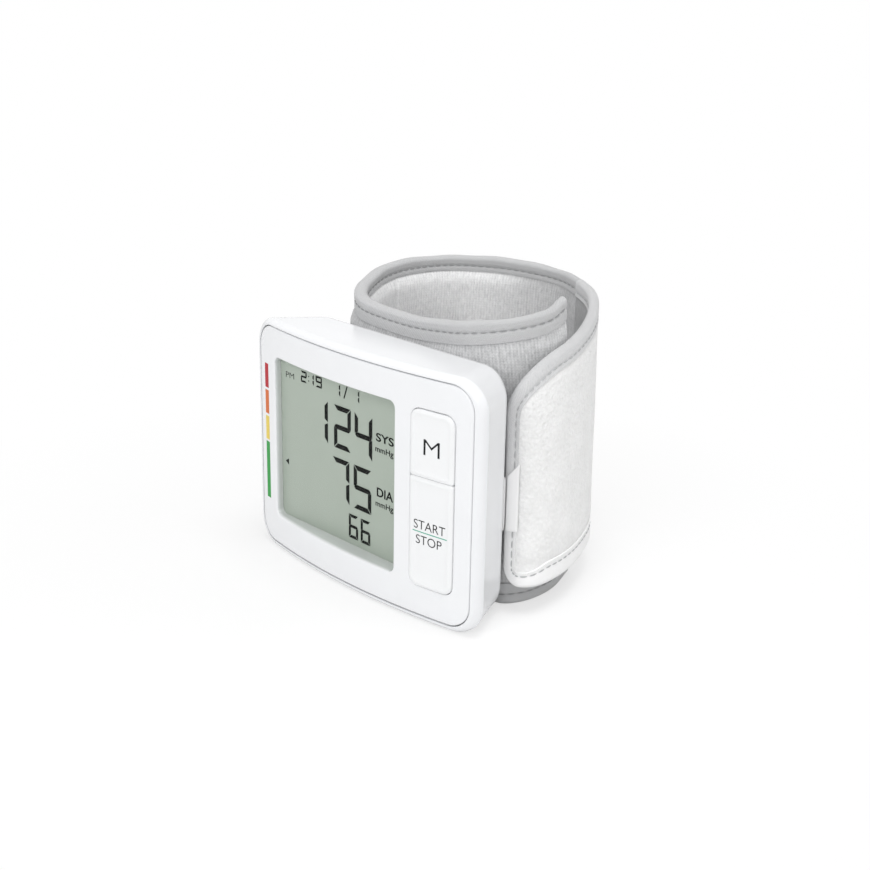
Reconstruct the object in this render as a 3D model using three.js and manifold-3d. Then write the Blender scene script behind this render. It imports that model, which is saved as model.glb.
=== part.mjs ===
// Wrist blood pressure monitor: a bowed display housing with two keys, on a wrap-round padded cuff.
// Millimetres, +Z up, the display faces -Y, origin on the housing's flat base.
import * as THREE from 'three';
import { mergeVertices } from 'three/addons/utils/BufferGeometryUtils.js';
import Module from 'manifold-3d';

const wasm = await Module();
wasm.setup();

// Housing
const BODY_WIDTH = 84.8;
const BODY_HEIGHT = 63.4;
const BACK_WIDTH = 71;
const BACK_TOP_FALL = 0.8;
const BODY_CORNER_RADIUS = 7.8;
const FRONT_RADIUS = 196; // of the front's bow, about an upright axis
const FRONT_EDGE_RADIUS = 2;
const BACK_EDGE_RADIUS = 4;
const BASE_AHEAD = 12; // from the middle of the front to the origin
const WALL = 1.6;
const SIDE_RIM = 2.4; // housing showing beside the face plate
const TOP_RIM = 1.8; // housing showing above and below it
const PANEL_LEDGE = 1.2;
const BACK_LEDGE = 1.4;

// Face plate and its openings
const PANEL_THICKNESS = 1.6;
const WINDOW_SIDE_MARGIN = 7.9;
const WINDOW_TOP_MARGIN = 7.6;
const WINDOW_FOOT_MARGIN = 8.2;
const WINDOW_CORNER_RADIUS = 1.8;
const WINDOW_KEY_SPACE = 5.1; // between the window and the key bay
const KEY_SIDE_MARGIN = 4.8;
const KEY_END_MARGIN = 7.4;
const KEY_BAY_WIDTH = 13.2;
const KEY_BAY_CORNER_RADIUS = 2.8;
const KEY_SPLIT_RISE = 5.7; // of the line between the keys above the housing's middle
const KEY_PROUD = 0.4;
const KEY_FLANGE = 0.8;
const KEY_STEM_RADIUS = 1.5;
const DOME_RADIUS = 3.4;
const DOME_SHOULDER_RADIUS = 2.7; // at half its height
const DOME_TOP_RADIUS = 1.5;
const DOME_HEIGHT = 1.1;

// Display and board
const LENS_THICKNESS = 0.9;
const LCD_BORDER = 1.1; // of the glass hidden behind the face plate
const LCD_THICKNESS = 1.3;
const FRAME_THICKNESS = 0.9;
const ZEBRA_HEIGHT = 2.2;
const BOARD_THICKNESS = 0.9;
const BOARD_MARGIN = 2.2; // from the board to the housing's inside, above and below
const BOARD_SIDE_MARGIN = 1.4; // from the board to the side walls, at its screws' heads
const BOARD_POST_RADIUS = 1.6;
const BUZZER_RADIUS = 4.5;
const BUZZER_HEIGHT = 3;
const BUZZER_SIDE_ROOM = 8; // from the board's right edge to the buzzer
const SENSOR_SIZE = 7;
const SENSOR_HEIGHT = 4;
const SENSOR_SIDE_ROOM = 6; // from the board's right edge to the sensor
const SENSOR_NOZZLE_RADIUS = 1.2;
const SENSOR_NOZZLE_LENGTH = 1.3;

// Power
const CELL_DIAMETER = 10.5;
const CELL_LENGTH = 43.6;
const CELL_EDGE = 0.4;
const CELL_NUB_RADIUS = 1.9;
const CELL_NUB_LENGTH = 0.9;
const CELL_RISE = 8.75; // of the lower cell above the housing's floor
const CELL_SPACING = 0.7;
const CELL_SIDE_ROOM = 2.8; // from the left wall's inside to the cells
const TRAY_WALL = 0.8;
const CONTACT_ROOM = 2.2;
const CONTACT_THICKNESS = 0.4;
const CONTACT_SIZE = 6.6;
const DOOR_KNUCKLE_RADIUS = 1.15;
const DOOR_PIN_RADIUS = 0.6;
const DOOR_PIN_DEPTH = 1; // of the pin's axis under the left wall's face
const DOOR_PIN_GRIP = 2; // length of the pin held in the housing at each end

// Pump, valve and air line
const PUMP_RADIUS = 4.7;
const PUMP_SIDE_ROOM = 3.6; // from the left wall's inside to the motor
const PUMP_LENGTH = 18;
const PUMP_EDGE = 0.8;
const PUMP_HEAD_LENGTH = 11.5;
const PUMP_HEAD_WALL = 1.3;
const PUMP_RISE = 0.6; // of the pump head above the tray
const CRANK_RADIUS = 3;
const CRANK_THICKNESS = 2;
const CRANK_THROW = 1.2;
const SHAFT_RADIUS = 0.75;
const VALVE_SPACE = 7; // between the pump head and the valve
const VALVE_SIZE = 8;
const VALVE_LENGTH = 12;
const PLUNGER_RADIUS = 1.2;
const PLUNGER_LENGTH = 6;
const PLUNGER_STROKE = 0.6;
const PLUNGER_PROUD = 1.5;
const AIR_TUBE_RADIUS = 1.6;
const AIR_LINE_RISE = 1; // of the line above the pump head
const NIPPLE_BORE_RADIUS = 0.8;
const NIPPLE_SET_IN = 1; // of the nipple's root ahead of the back ledge

// Rear cover and fasteners
const COVER_THICKNESS = 1.2;
const COVER_SIDE_MARGIN = 5.5;
const COVER_END_MARGIN = 5;
const COVER_CORNER_RADIUS = 3;
const COVER_LAP = 5.2; // width of the ledge that the cover sits on
const SCREW_RADIUS = 1;
const SCREW_HEAD_RADIUS = 1.9;
const SCREW_HEAD_HEIGHT = 0.7;
const SCREW_BOSS_RADIUS = 2.1;
const REAR_SCREW_LENGTH = 5;
const BOARD_SCREW_LENGTH = 3;
const CUFF_SCREW_X = 9;
const CUFF_SCREW_RISE = 12; // of the cuff screws above and below the housing's middle

// Cuff: a strip that runs from its inner end on the right, along the housing's back, round the left and
// the back, to the line where the flap begins. Each point is x, the distance behind the housing's back
// and the rise of the top rim there. The inner end leans in at the top, so its foot has its own points.
const CUFF_HEIGHT = 66.9;
const CUFF_LINE = [
  [32, 21.6, 8], [32.6, 16.6, 6.2], [31.6, 11.6, 5.2], [29, 7.4, 4.4], [24.5, 3.8, 3.4],
  [18.5, 1.5, 2.3], [12.5, 0.2, 1.3], [0, 0, 0], [-12, 0, 0], [-22, 0.9, 0.4],
  [-28, 3.5, 1], [-33, 7.9, 1.7], [-37.3, 14.3, 2.5], [-40.6, 21.2, 3.3], [-42.2, 29.7, 4],
  [-41.4, 39.2, 4.3], [-37.6, 47.9, 4.4], [-31, 54.2, 4.4], [-22, 58.6, 4.4], [-11, 60, 4.3],
  [0.3, 58.3, 4.1], [9.2, 54.6, 3.8],
];
const CUFF_FOOT = [
  [30.5, 29.1], [34.9, 18.6], [35.8, 11.6], [35, 6.1], [32.3, 1.8], [25, 0.2], [14, 0],
];
const SLEEVE_THICKNESS = 1.2;
const STIFFENER_THICKNESS = 0.9;
const BLADDER_THICKNESS = 1.4;
const LINING_THICKNESS = 0.9;
const BINDING_HEIGHT = 6;
const BINDING_THICKNESS = 3.6;
const STIFFENER_MARGIN = 4; // from the bindings
const BLADDER_MARGIN = 2.5;
const PAD_START = 23.5; // along the strip from its inner end: where the padding begins and where it is full
const PAD_FULL = 38.5;
const PAD_THIN = 40; // along the strip from the flap's line: where the padding thins and where it ends
const PAD_STOP = 8;
const HOOK_THICKNESS = 0.5;
const HOOK_START = 3;
const HOOK_LENGTH = 14;
const HOOK_LOW = 16;
const HOOK_HIGH = 48;

// Flap: from the strip's end round the right side to the housing's right rear edge. It leans in at the
// top against the strip's inner end, so it has a foot line and a top line.
const FLAP_FOOT_LINE = [
  [17.4, 49.5], [24.6, 43.3], [31.3, 35.9], [36.1, 27.7], [39.6, 19.7], [41.5, 12.7],
  [42, 6.7], [41.2, 3.1], [39.2, 0.8], [36.8, 0.1], [34, 0],
];
const FLAP_TOP_LINE = [
  [17.2, 49.5], [23.8, 43.4], [29.3, 36.1], [33.2, 28.2], [35.4, 20.7], [36, 14.7],
  [35.7, 9.7], [34.8, 6.3], [33.4, 3.9], [31.4, 1.9],
];
const FLAP_THICKNESS = 2.4;
const FLAP_FOOT = 7.2; // height of its lower edge
const FLAP_FOOT_RUN = 20; // length over which the lower edge climbs from the strip's foot
const FLAP_FALL = 8; // of its upper edge, on the way to its corner
const FLAP_FALL_START = 12; // along the flap
const FLAP_CORNER_RUN = 18.6;
const FLAP_CORNER_DROP = 13;
const FLAP_LOW_CORNER = 5;
const FLAP_BINDING_WIDTH = 3;
const FLAP_BINDING_LIFT = 0.3; // of the binding beyond the flap's faces
const TAB_LOW = 21.3;
const TAB_HIGH = 34.7;
const TAB_REACH = 4.5;
const TAB_THICKNESS = 0.4;
const TAB_BAR_WIDTH = 1;
const TAB_BAR_THICKNESS = 0.8;

// Clearances
const SEAT_GAP = 0.05; // pieces that sit on each other
const STACK_GAP = 0.3; // layers, and pieces set in their neighbours
const RUNNING_GAP = 0.1; // pins and screws in their holes, cloth on cloth
const KEY_GAP = 0.25;
const CUFF_GAP = 0.35; // between the housing's back and the cuff
const FLAP_GAP = 0.5; // between the strip's end and the flap

// Counts of flat facets, steps of the curves, and reaches of the cutting shapes
const CORNER_STEPS = 5;
const BOW_STEPS = 16;
const ROUND_STEPS = 20;
const SCREW_STEPS = 12;
const STRIP_STEPS = 72;
const FLAP_STEPS = 32;
const LEAST_RADIUS = 0.3;
const MERGE_DISTANCE = 1e-4;
const CURVE_STEP = 1e-3; // share of a line over which its way is read
const OVERRUN = 1;
const FAR = 120;

// Places that follow from the sizes
const MIDDLE_Z = BODY_HEIGHT / 2;
const PANEL_WIDTH = BODY_WIDTH - 2 * SIDE_RIM;
const PANEL_HEIGHT = BODY_HEIGHT - 2 * TOP_RIM;
const PANEL_CORNER = BODY_CORNER_RADIUS - TOP_RIM;
const KEY_X = PANEL_WIDTH / 2 - KEY_SIDE_MARGIN - KEY_BAY_WIDTH / 2;
const KEY_BAY_HEIGHT = PANEL_HEIGHT - 2 * KEY_END_MARGIN;
const KEY_SPLIT_Z = MIDDLE_Z + KEY_SPLIT_RISE;
const WINDOW_LEFT = WINDOW_SIDE_MARGIN - PANEL_WIDTH / 2;
const WINDOW_RIGHT = KEY_X - KEY_BAY_WIDTH / 2 - WINDOW_KEY_SPACE;
const WINDOW_LOW = TOP_RIM + WINDOW_FOOT_MARGIN;
const WINDOW_HIGH = BODY_HEIGHT - TOP_RIM - WINDOW_TOP_MARGIN;
const frontY = (x) => x * x / (2 * FRONT_RADIUS) - BASE_AHEAD;
const LCD_Y = frontY(WINDOW_LEFT - LCD_BORDER) + PANEL_THICKNESS + STACK_GAP;
const FRAME_Y = LCD_Y + LCD_THICKNESS + STACK_GAP;
const FRAME_BACK_Y = FRAME_Y + FRAME_THICKNESS;
const BOARD_Y = FRAME_BACK_Y + STACK_GAP;
const BOARD_BACK_Y = BOARD_Y + BOARD_THICKNESS;
const CELL_RADIUS = CELL_DIAMETER / 2;
const CELL_Y = BOARD_Y + CELL_RADIUS;
const LEDGE_Y = CELL_Y + CELL_RADIUS + STACK_GAP;
const COVER_Y = LEDGE_Y + BACK_LEDGE;
const BACK_Y = COVER_Y + COVER_THICKNESS;
const BACK_HEIGHT = BODY_HEIGHT - BACK_TOP_FALL;
const FLOOR_Z = TOP_RIM + PANEL_LEDGE;
const COVER_WIDTH = BACK_WIDTH - 2 * COVER_SIDE_MARGIN;
const COVER_HEIGHT = BACK_HEIGHT - 2 * COVER_END_MARGIN;
const COVER_Z = BACK_HEIGHT / 2;
const HOLLOW_FRONT_WIDTH = PANEL_WIDTH - 2 * PANEL_LEDGE;
const HOLLOW_BACK_WIDTH = BACK_WIDTH - 2 * WALL;
const HOLLOW_FRONT_Y = frontY(PANEL_WIDTH / 2);
const wallInside = (y) => {
  const share = (y - HOLLOW_FRONT_Y) / (LEDGE_Y - HOLLOW_FRONT_Y);
  return (HOLLOW_FRONT_WIDTH + (HOLLOW_BACK_WIDTH - HOLLOW_FRONT_WIDTH) * share) / 2;
};
const CELL_LEFT = CELL_SIDE_ROOM - wallInside(CELL_Y);
const CELL_RIGHT = CELL_LEFT + CELL_LENGTH;
const CELL_LOW_Z = FLOOR_Z + CELL_RISE + CELL_RADIUS;
const CELL_HIGH_Z = CELL_LOW_Z + CELL_DIAMETER + CELL_SPACING;
const TRAY_LOW = CELL_LOW_Z - CELL_RADIUS - STACK_GAP;
const TRAY_HIGH = CELL_HIGH_Z + CELL_RADIUS + STACK_GAP;
const TRAY_RIGHT = CELL_RIGHT + CELL_NUB_LENGTH + CONTACT_ROOM;
const CUFF_Y = BACK_Y + CUFF_GAP;
const STIFFENER_IN = SLEEVE_THICKNESS + STACK_GAP;
const BLADDER_IN = STIFFENER_IN + STIFFENER_THICKNESS + SCREW_HEAD_HEIGHT + STACK_GAP;
const LINING_IN = BLADDER_IN + BLADDER_THICKNESS + STACK_GAP;
const CUFF_THICKNESS = LINING_IN + LINING_THICKNESS;
const CUFF_END_THICKNESS = SLEEVE_THICKNESS + STACK_GAP + LINING_THICKNESS;

// Finishes
const finish = (color, roughness, metalness = 0) => (
  new THREE.MeshStandardMaterial({ color, roughness, metalness }));
const WHITE_GLOSS = finish(0xf2f3f4, 0.22);
const WHITE_KEY = finish(0xf7f8f9, 0.3);
const WHITE_MATTE = finish(0xe9eaea, 0.6);
const CLEAR = finish(0xdfe6e2, 0.05);
const DISPLAY = finish(0x8c9c8c, 0.25);
const BOARD_GREEN = finish(0x1f6b3e, 0.5);
const DARK_RUBBER = finish(0x2b2d30, 0.8);
const PALE_RUBBER = finish(0xdcdcd6, 0.7);
const STEEL = finish(0xb9bcc0, 0.35, 0.9);
const BRASS = finish(0xc9a24a, 0.35, 0.9);
const CELL_JACKET = finish(0x3d6f8f, 0.4);
const GREY_KNIT = finish(0xb4b5b6, 0.95);
const GREY_TAPE = finish(0xa9aaab, 0.9);
const WHITE_LOOP = finish(0xe4e4e3, 0.95);

const part = new THREE.Group();

// Turns a closed geometry into a solid that can be cut and joined.
function solid(geometry) {
  const bare = geometry.clone();
  bare.deleteAttribute('normal');
  bare.deleteAttribute('uv');
  const merged = mergeVertices(bare, MERGE_DISTANCE);
  const index = merged.index.array;
  const kept = [];
  for (let i = 0; i < index.length; i += 3) {
    const [a, b, c] = index.slice(i, i + 3);
    if (a !== b && b !== c && c !== a) kept.push(a, b, c);
  }
  const vertProperties = new Float32Array(merged.attributes.position.array);
  const triVerts = new Uint32Array(kept);
  return new wasm.Manifold(new wasm.Mesh({ numProp: 3, vertProperties, triVerts }));
}

// Adds one named piece to the part.
function piece(name, shape, material, parent = part) {
  const { vertProperties, triVerts } = shape.getMesh();
  const geometry = new THREE.BufferGeometry();
  geometry.setAttribute('position', new THREE.BufferAttribute(new Float32Array(vertProperties), 3));
  geometry.setIndex(new THREE.BufferAttribute(new Uint32Array(triVerts), 1));
  geometry.computeVertexNormals();
  const mesh = new THREE.Mesh(geometry, material);
  mesh.name = name;
  parent.add(mesh);
}

// A rounded rectangle between two corners.
function roundedShape(left, low, right, high, wantedRadius) {
  const radius = Math.max(wantedRadius, LEAST_RADIUS);
  const shape = new THREE.Shape();
  shape.absarc(right - radius, high - radius, radius, 0, Math.PI / 2);
  shape.absarc(left + radius, high - radius, radius, Math.PI / 2, Math.PI);
  shape.absarc(left + radius, low + radius, radius, Math.PI, 1.5 * Math.PI);
  shape.absarc(right - radius, low + radius, radius, 1.5 * Math.PI, 2 * Math.PI);
  shape.closePath();
  return shape;
}

// A shape drawn in X and Z, carried along Y.
function prismY(shape, fromY, toY) {
  const options = { depth: toY - fromY, bevelEnabled: false, curveSegments: CORNER_STEPS };
  return solid(new THREE.ExtrudeGeometry(shape, options).rotateX(Math.PI / 2).translate(0, toY, 0));
}

// A box between two corners.
function box(from, to) {
  const size = to.map((value, i) => value - from[i]);
  const middle = to.map((value, i) => (value + from[i]) / 2);
  return solid(new THREE.BoxGeometry(...size).translate(...middle));
}

// A round bar that runs along X, Y or Z from a place.
function bar(axis, from, length, radius, steps = ROUND_STEPS) {
  const geometry = new THREE.CylinderGeometry(radius, radius, length, steps).translate(0, length / 2, 0);
  if (axis === 'x') geometry.rotateZ(-Math.PI / 2);
  if (axis === 'z') geometry.rotateX(Math.PI / 2);
  return solid(geometry.translate(...from));
}

// A turned piece from a profile of radius and distance, its axis turned from +Y about Z, at a place.
function turned(profile, turn, place) {
  const points = profile.map(([radius, along]) => new THREE.Vector2(radius, along));
  return solid(new THREE.LatheGeometry(points, ROUND_STEPS).rotateZ(turn).translate(...place));
}

// A skin over rings of equal count with both ends closed. Each ring runs clockwise, seen along the way.
function skin(rings) {
  const count = rings[0].length;
  const faces = [];
  for (let i = 0; i + 1 < rings.length; i++) {
    for (let k = 0; k < count; k++) {
      const a = i * count + k;
      const b = i * count + (k + 1) % count;
      faces.push(a, b, b + count, a, b + count, a + count);
    }
  }
  const last = (rings.length - 1) * count;
  for (let k = 1; k + 1 < count; k++) {
    faces.push(0, k + 1, k, last, last + k, last + k + 1);
  }
  const geometry = new THREE.BufferGeometry();
  geometry.setAttribute('position', new THREE.Float32BufferAttribute(rings.flat(2), 3));
  geometry.setIndex(faces);
  return solid(geometry);
}

// One ring of the housing: a rounded rectangle in X and Z that follows a share of the front's bow.
function housingRing(width, lowZ, highZ, radius, y, bow) {
  const half = width / 2;
  const corners = [
    [-half + radius, highZ - radius, Math.PI], [half - radius, highZ - radius, Math.PI / 2],
    [half - radius, lowZ + radius, 0], [-half + radius, lowZ + radius, -Math.PI / 2],
  ];
  const outline = [];
  for (const [i, [x, z, start]] of corners.entries()) {
    for (let k = 0; k <= CORNER_STEPS; k++) {
      const angle = start - k / CORNER_STEPS * Math.PI / 2;
      outline.push([x + radius * Math.cos(angle), z + radius * Math.sin(angle)]);
    }
    for (let k = 1; k < BOW_STEPS && i % 2 === 0; k++) {
      const along = (2 * k / BOW_STEPS - 1) * (half - radius);
      outline.push(i === 0 ? [along, highZ] : [-along, lowZ]);
    }
  }
  return outline.map(([x, z]) => [x, y + bow * x * x / (2 * FRONT_RADIUS), z]);
}

// A slab between two depths behind the bowed front, a little wider and higher than the housing.
function bowedSlab(fromDepth, toDepth) {
  const reach = BODY_WIDTH / 2 + OVERRUN;
  const stations = Array.from({ length: 2 * BOW_STEPS + 1 }, (_, k) => (k / BOW_STEPS - 1) * reach);
  const ahead = stations.map((x) => new THREE.Vector2(x, frontY(x) + fromDepth));
  const behind = stations.map((x) => new THREE.Vector2(x, frontY(x) + toDepth));
  const shape = new THREE.Shape([...ahead, ...behind.reverse()]);
  const options = { depth: BODY_HEIGHT + 2 * OVERRUN, bevelEnabled: false };
  return solid(new THREE.ExtrudeGeometry(shape, options).translate(0, 0, -OVERRUN));
}

const panelShape = (grow) => roundedShape(-PANEL_WIDTH / 2 - grow, TOP_RIM - grow, PANEL_WIDTH / 2 + grow,
  BODY_HEIGHT - TOP_RIM + grow, PANEL_CORNER + grow);
const windowShape = (grow) => roundedShape(WINDOW_LEFT - grow, WINDOW_LOW - grow, WINDOW_RIGHT + grow,
  WINDOW_HIGH + grow, WINDOW_CORNER_RADIUS + grow);
const keyBayShape = (grow) => roundedShape(
  KEY_X - KEY_BAY_WIDTH / 2 - grow, MIDDLE_Z - KEY_BAY_HEIGHT / 2 - grow,
  KEY_X + KEY_BAY_WIDTH / 2 + grow, MIDDLE_Z + KEY_BAY_HEIGHT / 2 + grow, KEY_BAY_CORNER_RADIUS + grow);
const coverShape = (grow) => roundedShape(-COVER_WIDTH / 2 - grow, COVER_Z - COVER_HEIGHT / 2 - grow,
  COVER_WIDTH / 2 + grow, COVER_Z + COVER_HEIGHT / 2 + grow, COVER_CORNER_RADIUS + grow);
const fourPlaces = (x, middleZ, z) => (
  [[-x, middleZ - z], [x, middleZ - z], [-x, middleZ + z], [x, middleZ + z]]);
const rearScrews = fourPlaces((COVER_WIDTH - COVER_LAP) / 2, COVER_Z, (COVER_HEIGHT - COVER_LAP) / 2);
const cuffScrews = fourPlaces(CUFF_SCREW_X, MIDDLE_Z, CUFF_SCREW_RISE);

// A screw along Y with its head at the back; the shank runs forward from under the head.
function screw(name, x, seatY, z, length) {
  const shank = bar('y', [x, seatY - length, z], length + SCREW_HEAD_HEIGHT / 2, SCREW_RADIUS, SCREW_STEPS);
  const head = bar('y', [x, seatY, z], SCREW_HEAD_HEIGHT, SCREW_HEAD_RADIUS, SCREW_STEPS);
  piece(name, shank.add(head), STEEL);
}

// Housing: its walls draw in from the front rim to the back.
const RIM_Y = FRONT_EDGE_RADIUS - BASE_AHEAD;
const taper = (y) => (y - RIM_Y) / (BACK_Y - RIM_Y);
const wallOutside = (y) => (BODY_WIDTH + (BACK_WIDTH - BODY_WIDTH) * taper(y)) / 2;
function outerShell() {
  const ring = (inset, y, bow, share) => {
    const width = BODY_WIDTH + (BACK_WIDTH - BODY_WIDTH) * share - 2 * inset;
    const high = BODY_HEIGHT - BACK_TOP_FALL * share - inset;
    return housingRing(width, inset, high, BODY_CORNER_RADIUS - inset, y, bow);
  };
  const rise = FRONT_EDGE_RADIUS * (1 - Math.SQRT1_2);
  const tuck = BACK_EDGE_RADIUS * (1 - Math.SQRT1_2);
  const bendY = BACK_Y - BACK_EDGE_RADIUS;
  const wallRing = (y) => ring(0, y, (bendY - y) / (bendY - RIM_Y), taper(y));
  const rings = skin([
    ring(FRONT_EDGE_RADIUS, -FAR, 0, 0), ring(FRONT_EDGE_RADIUS, -BASE_AHEAD, 1, 0),
    ring(rise, rise - BASE_AHEAD, 1, 0), wallRing(RIM_Y), wallRing((RIM_Y + bendY) / 2), wallRing(bendY),
    ring(tuck, BACK_Y - tuck, 0, 1), ring(BACK_EDGE_RADIUS, BACK_Y, 0, 1),
  ]);
  return rings.intersect(bowedSlab(0, FAR));
}

// The hollow inside the housing, from ahead of the front to the back ledge.
const hollowCorner = PANEL_CORNER - PANEL_LEDGE;
const hollowHigh = BODY_HEIGHT - FLOOR_Z;
const hollow = skin([
  housingRing(HOLLOW_FRONT_WIDTH, FLOOR_Z, hollowHigh, hollowCorner, -FAR, 0),
  housingRing(HOLLOW_FRONT_WIDTH, FLOOR_Z, hollowHigh, hollowCorner, HOLLOW_FRONT_Y, 0),
  housingRing(HOLLOW_BACK_WIDTH, FLOOR_Z, BACK_HEIGHT - WALL, hollowCorner, LEDGE_Y, 0),
]);

// Battery door: the piece of the left wall beside the cells, with a knuckle on its rear edge and a pin.
const DOOR_LOW = TRAY_LOW + STACK_GAP;
const DOOR_HIGH = TRAY_HIGH - STACK_GAP;
const DOOR_FRONT_Y = CELL_Y - CELL_RADIUS;
const PIN_Y = LEDGE_Y - DOOR_KNUCKLE_RADIUS - STACK_GAP;
const PIN_X = DOOR_PIN_DEPTH - wallOutside(PIN_Y);
const doorway = (grow) => box(
  [-FAR, DOOR_FRONT_Y - grow, DOOR_LOW - grow], [CELL_LEFT, PIN_Y, DOOR_HIGH + grow]);
const knuckle = (grow) => bar(
  'z', [PIN_X, PIN_Y, DOOR_LOW - grow], DOOR_HIGH - DOOR_LOW + 2 * grow, DOOR_KNUCKLE_RADIUS + grow);
const hingePin = (grow) => bar('z', [PIN_X, PIN_Y, DOOR_LOW - DOOR_PIN_GRIP - grow],
  DOOR_HIGH - DOOR_LOW + 2 * DOOR_PIN_GRIP + 2 * grow, DOOR_PIN_RADIUS + grow);
const pinHole = hingePin(RUNNING_GAP);
const shell = outerShell();
const door = shell.subtract(hollow).intersect(doorway(0)).add(knuckle(0)).subtract(pinHole);
piece('battery_door', door, WHITE_GLOSS);
piece('battery_door_pin', hingePin(0), STEEL);

// Places of the pump and the air line; the rear cover and the cuff are bored for the nipple.
const PUMP_Y = LEDGE_Y - STACK_GAP - PUMP_RADIUS;
const PUMP_LEFT = PUMP_SIDE_ROOM - wallInside(PUMP_Y);
const PUMP_RIGHT = PUMP_LEFT + PUMP_LENGTH;
const PUMP_Z = TRAY_HIGH + TRAY_WALL + PUMP_RISE + PUMP_HEAD_WALL + PUMP_RADIUS;
const HEAD_LEFT = PUMP_RIGHT + STACK_GAP;
const HEAD_RIGHT = HEAD_LEFT + PUMP_HEAD_LENGTH;
const HEAD_TOP = PUMP_Z + PUMP_RADIUS + PUMP_HEAD_WALL;
const LINE_Y = BOARD_BACK_Y + SEAT_GAP + SENSOR_HEIGHT / 2;
const LINE_Z = HEAD_TOP + AIR_LINE_RISE + AIR_TUBE_RADIUS;
const VALVE_LEFT = HEAD_RIGHT + VALVE_SPACE;
const NIPPLE_X = (HEAD_RIGHT + VALVE_LEFT) / 2;
const NIPPLE_Y = LEDGE_Y - NIPPLE_SET_IN;
const nippleHole = bar('y', [NIPPLE_X, LINE_Y, LINE_Z], CUFF_Y + BLADDER_IN - LINE_Y,
  AIR_TUBE_RADIUS + STACK_GAP);

// The housing's openings: the face plate's pocket, the rear cover's ledge and screw bosses, the doorway.
const panelPocket = bowedSlab(-FAR, PANEL_THICKNESS + SEAT_GAP).intersect(
  prismY(panelShape(STACK_GAP), -FAR, FAR));
const coverPocket = prismY(coverShape(STACK_GAP), COVER_Y - SEAT_GAP, FAR);
const coverOpening = prismY(coverShape(STACK_GAP - COVER_LAP), LEDGE_Y - STACK_GAP, FAR);
let housing = shell.subtract(panelPocket).subtract(hollow);
for (const [x, z] of rearScrews) {
  const rootY = COVER_Y - REAR_SCREW_LENGTH - WALL;
  housing = housing.add(bar('y', [x, rootY, z], COVER_Y - SEAT_GAP - rootY, SCREW_BOSS_RADIUS));
}
housing = housing.subtract(coverPocket).subtract(coverOpening).subtract(nippleHole);
for (const [x, z] of rearScrews) {
  housing = housing.subtract(bar('y', [x, COVER_Y - REAR_SCREW_LENGTH, z], FAR, SCREW_RADIUS + RUNNING_GAP));
}
housing = housing.subtract(doorway(STACK_GAP)).subtract(knuckle(STACK_GAP)).subtract(pinHole);
piece('main_housing', housing, WHITE_GLOSS);

// Face plate: a bowed slab with the window and the key bay, a skirt behind the window that the display
// sits on, and posts that carry the board.
const BOARD_HALF = wallInside(BOARD_BACK_Y + SCREW_HEAD_HEIGHT) - BOARD_SIDE_MARGIN;
const BOARD_HIGH = hollowHigh - BOARD_MARGIN;
const BOARD_LOW = FLOOR_Z + BOARD_MARGIN;
const postInset = BOARD_POST_RADIUS + SEAT_GAP;
const boardPosts = [
  [-BOARD_HALF + postInset, BOARD_HIGH - postInset],
  [BOARD_HALF - postInset, BOARD_HIGH - postInset],
  [BOARD_HALF - postInset, BOARD_LOW + postInset],
];
let plate = bowedSlab(0, PANEL_THICKNESS).intersect(prismY(panelShape(0), -FAR, FAR));
const behindPlate = bowedSlab(PANEL_THICKNESS / 2, FAR);
plate = plate.add(prismY(windowShape(LCD_BORDER), -FAR, LCD_Y - SEAT_GAP).intersect(behindPlate));
for (const [x, z] of boardPosts) {
  const rootY = frontY(x) + PANEL_THICKNESS / 2;
  plate = plate.add(bar('y', [x, rootY, z], BOARD_Y - SEAT_GAP - rootY, BOARD_POST_RADIUS));
  const tipY = BOARD_BACK_Y - BOARD_SCREW_LENGTH - STACK_GAP;
  plate = plate.subtract(bar('y', [x, tipY, z], FAR, SCREW_RADIUS + RUNNING_GAP));
}
plate = plate.subtract(prismY(windowShape(0), -FAR, FAR)).subtract(prismY(keyBayShape(0), -FAR, FAR));
piece('face_plate', plate, WHITE_GLOSS);

// Display: the lens in the window, the glass behind it, and a frame with its contact strip.
const lensBack = LCD_Y - SEAT_GAP;
piece('display_lens', prismY(windowShape(-STACK_GAP), lensBack - LENS_THICKNESS, lensBack), CLEAR);
piece('lcd_glass', prismY(windowShape(LCD_BORDER), LCD_Y, LCD_Y + LCD_THICKNESS), DISPLAY);
const zebraZ = WINDOW_HIGH - ZEBRA_HEIGHT;
const zebra = (grow, fromY, toY) => box([WINDOW_LEFT + LCD_BORDER - grow, fromY, zebraZ - grow],
  [WINDOW_RIGHT - LCD_BORDER + grow, toY, zebraZ + ZEBRA_HEIGHT + grow]);
const frame = prismY(windowShape(LCD_BORDER), FRAME_Y, FRAME_BACK_Y);
piece('lcd_frame', frame.subtract(zebra(STACK_GAP, -FAR, FAR)), WHITE_MATTE);
piece('zebra_strip', zebra(0, LCD_Y + LCD_THICKNESS + SEAT_GAP, BOARD_Y - SEAT_GAP), DARK_RUBBER);

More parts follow.
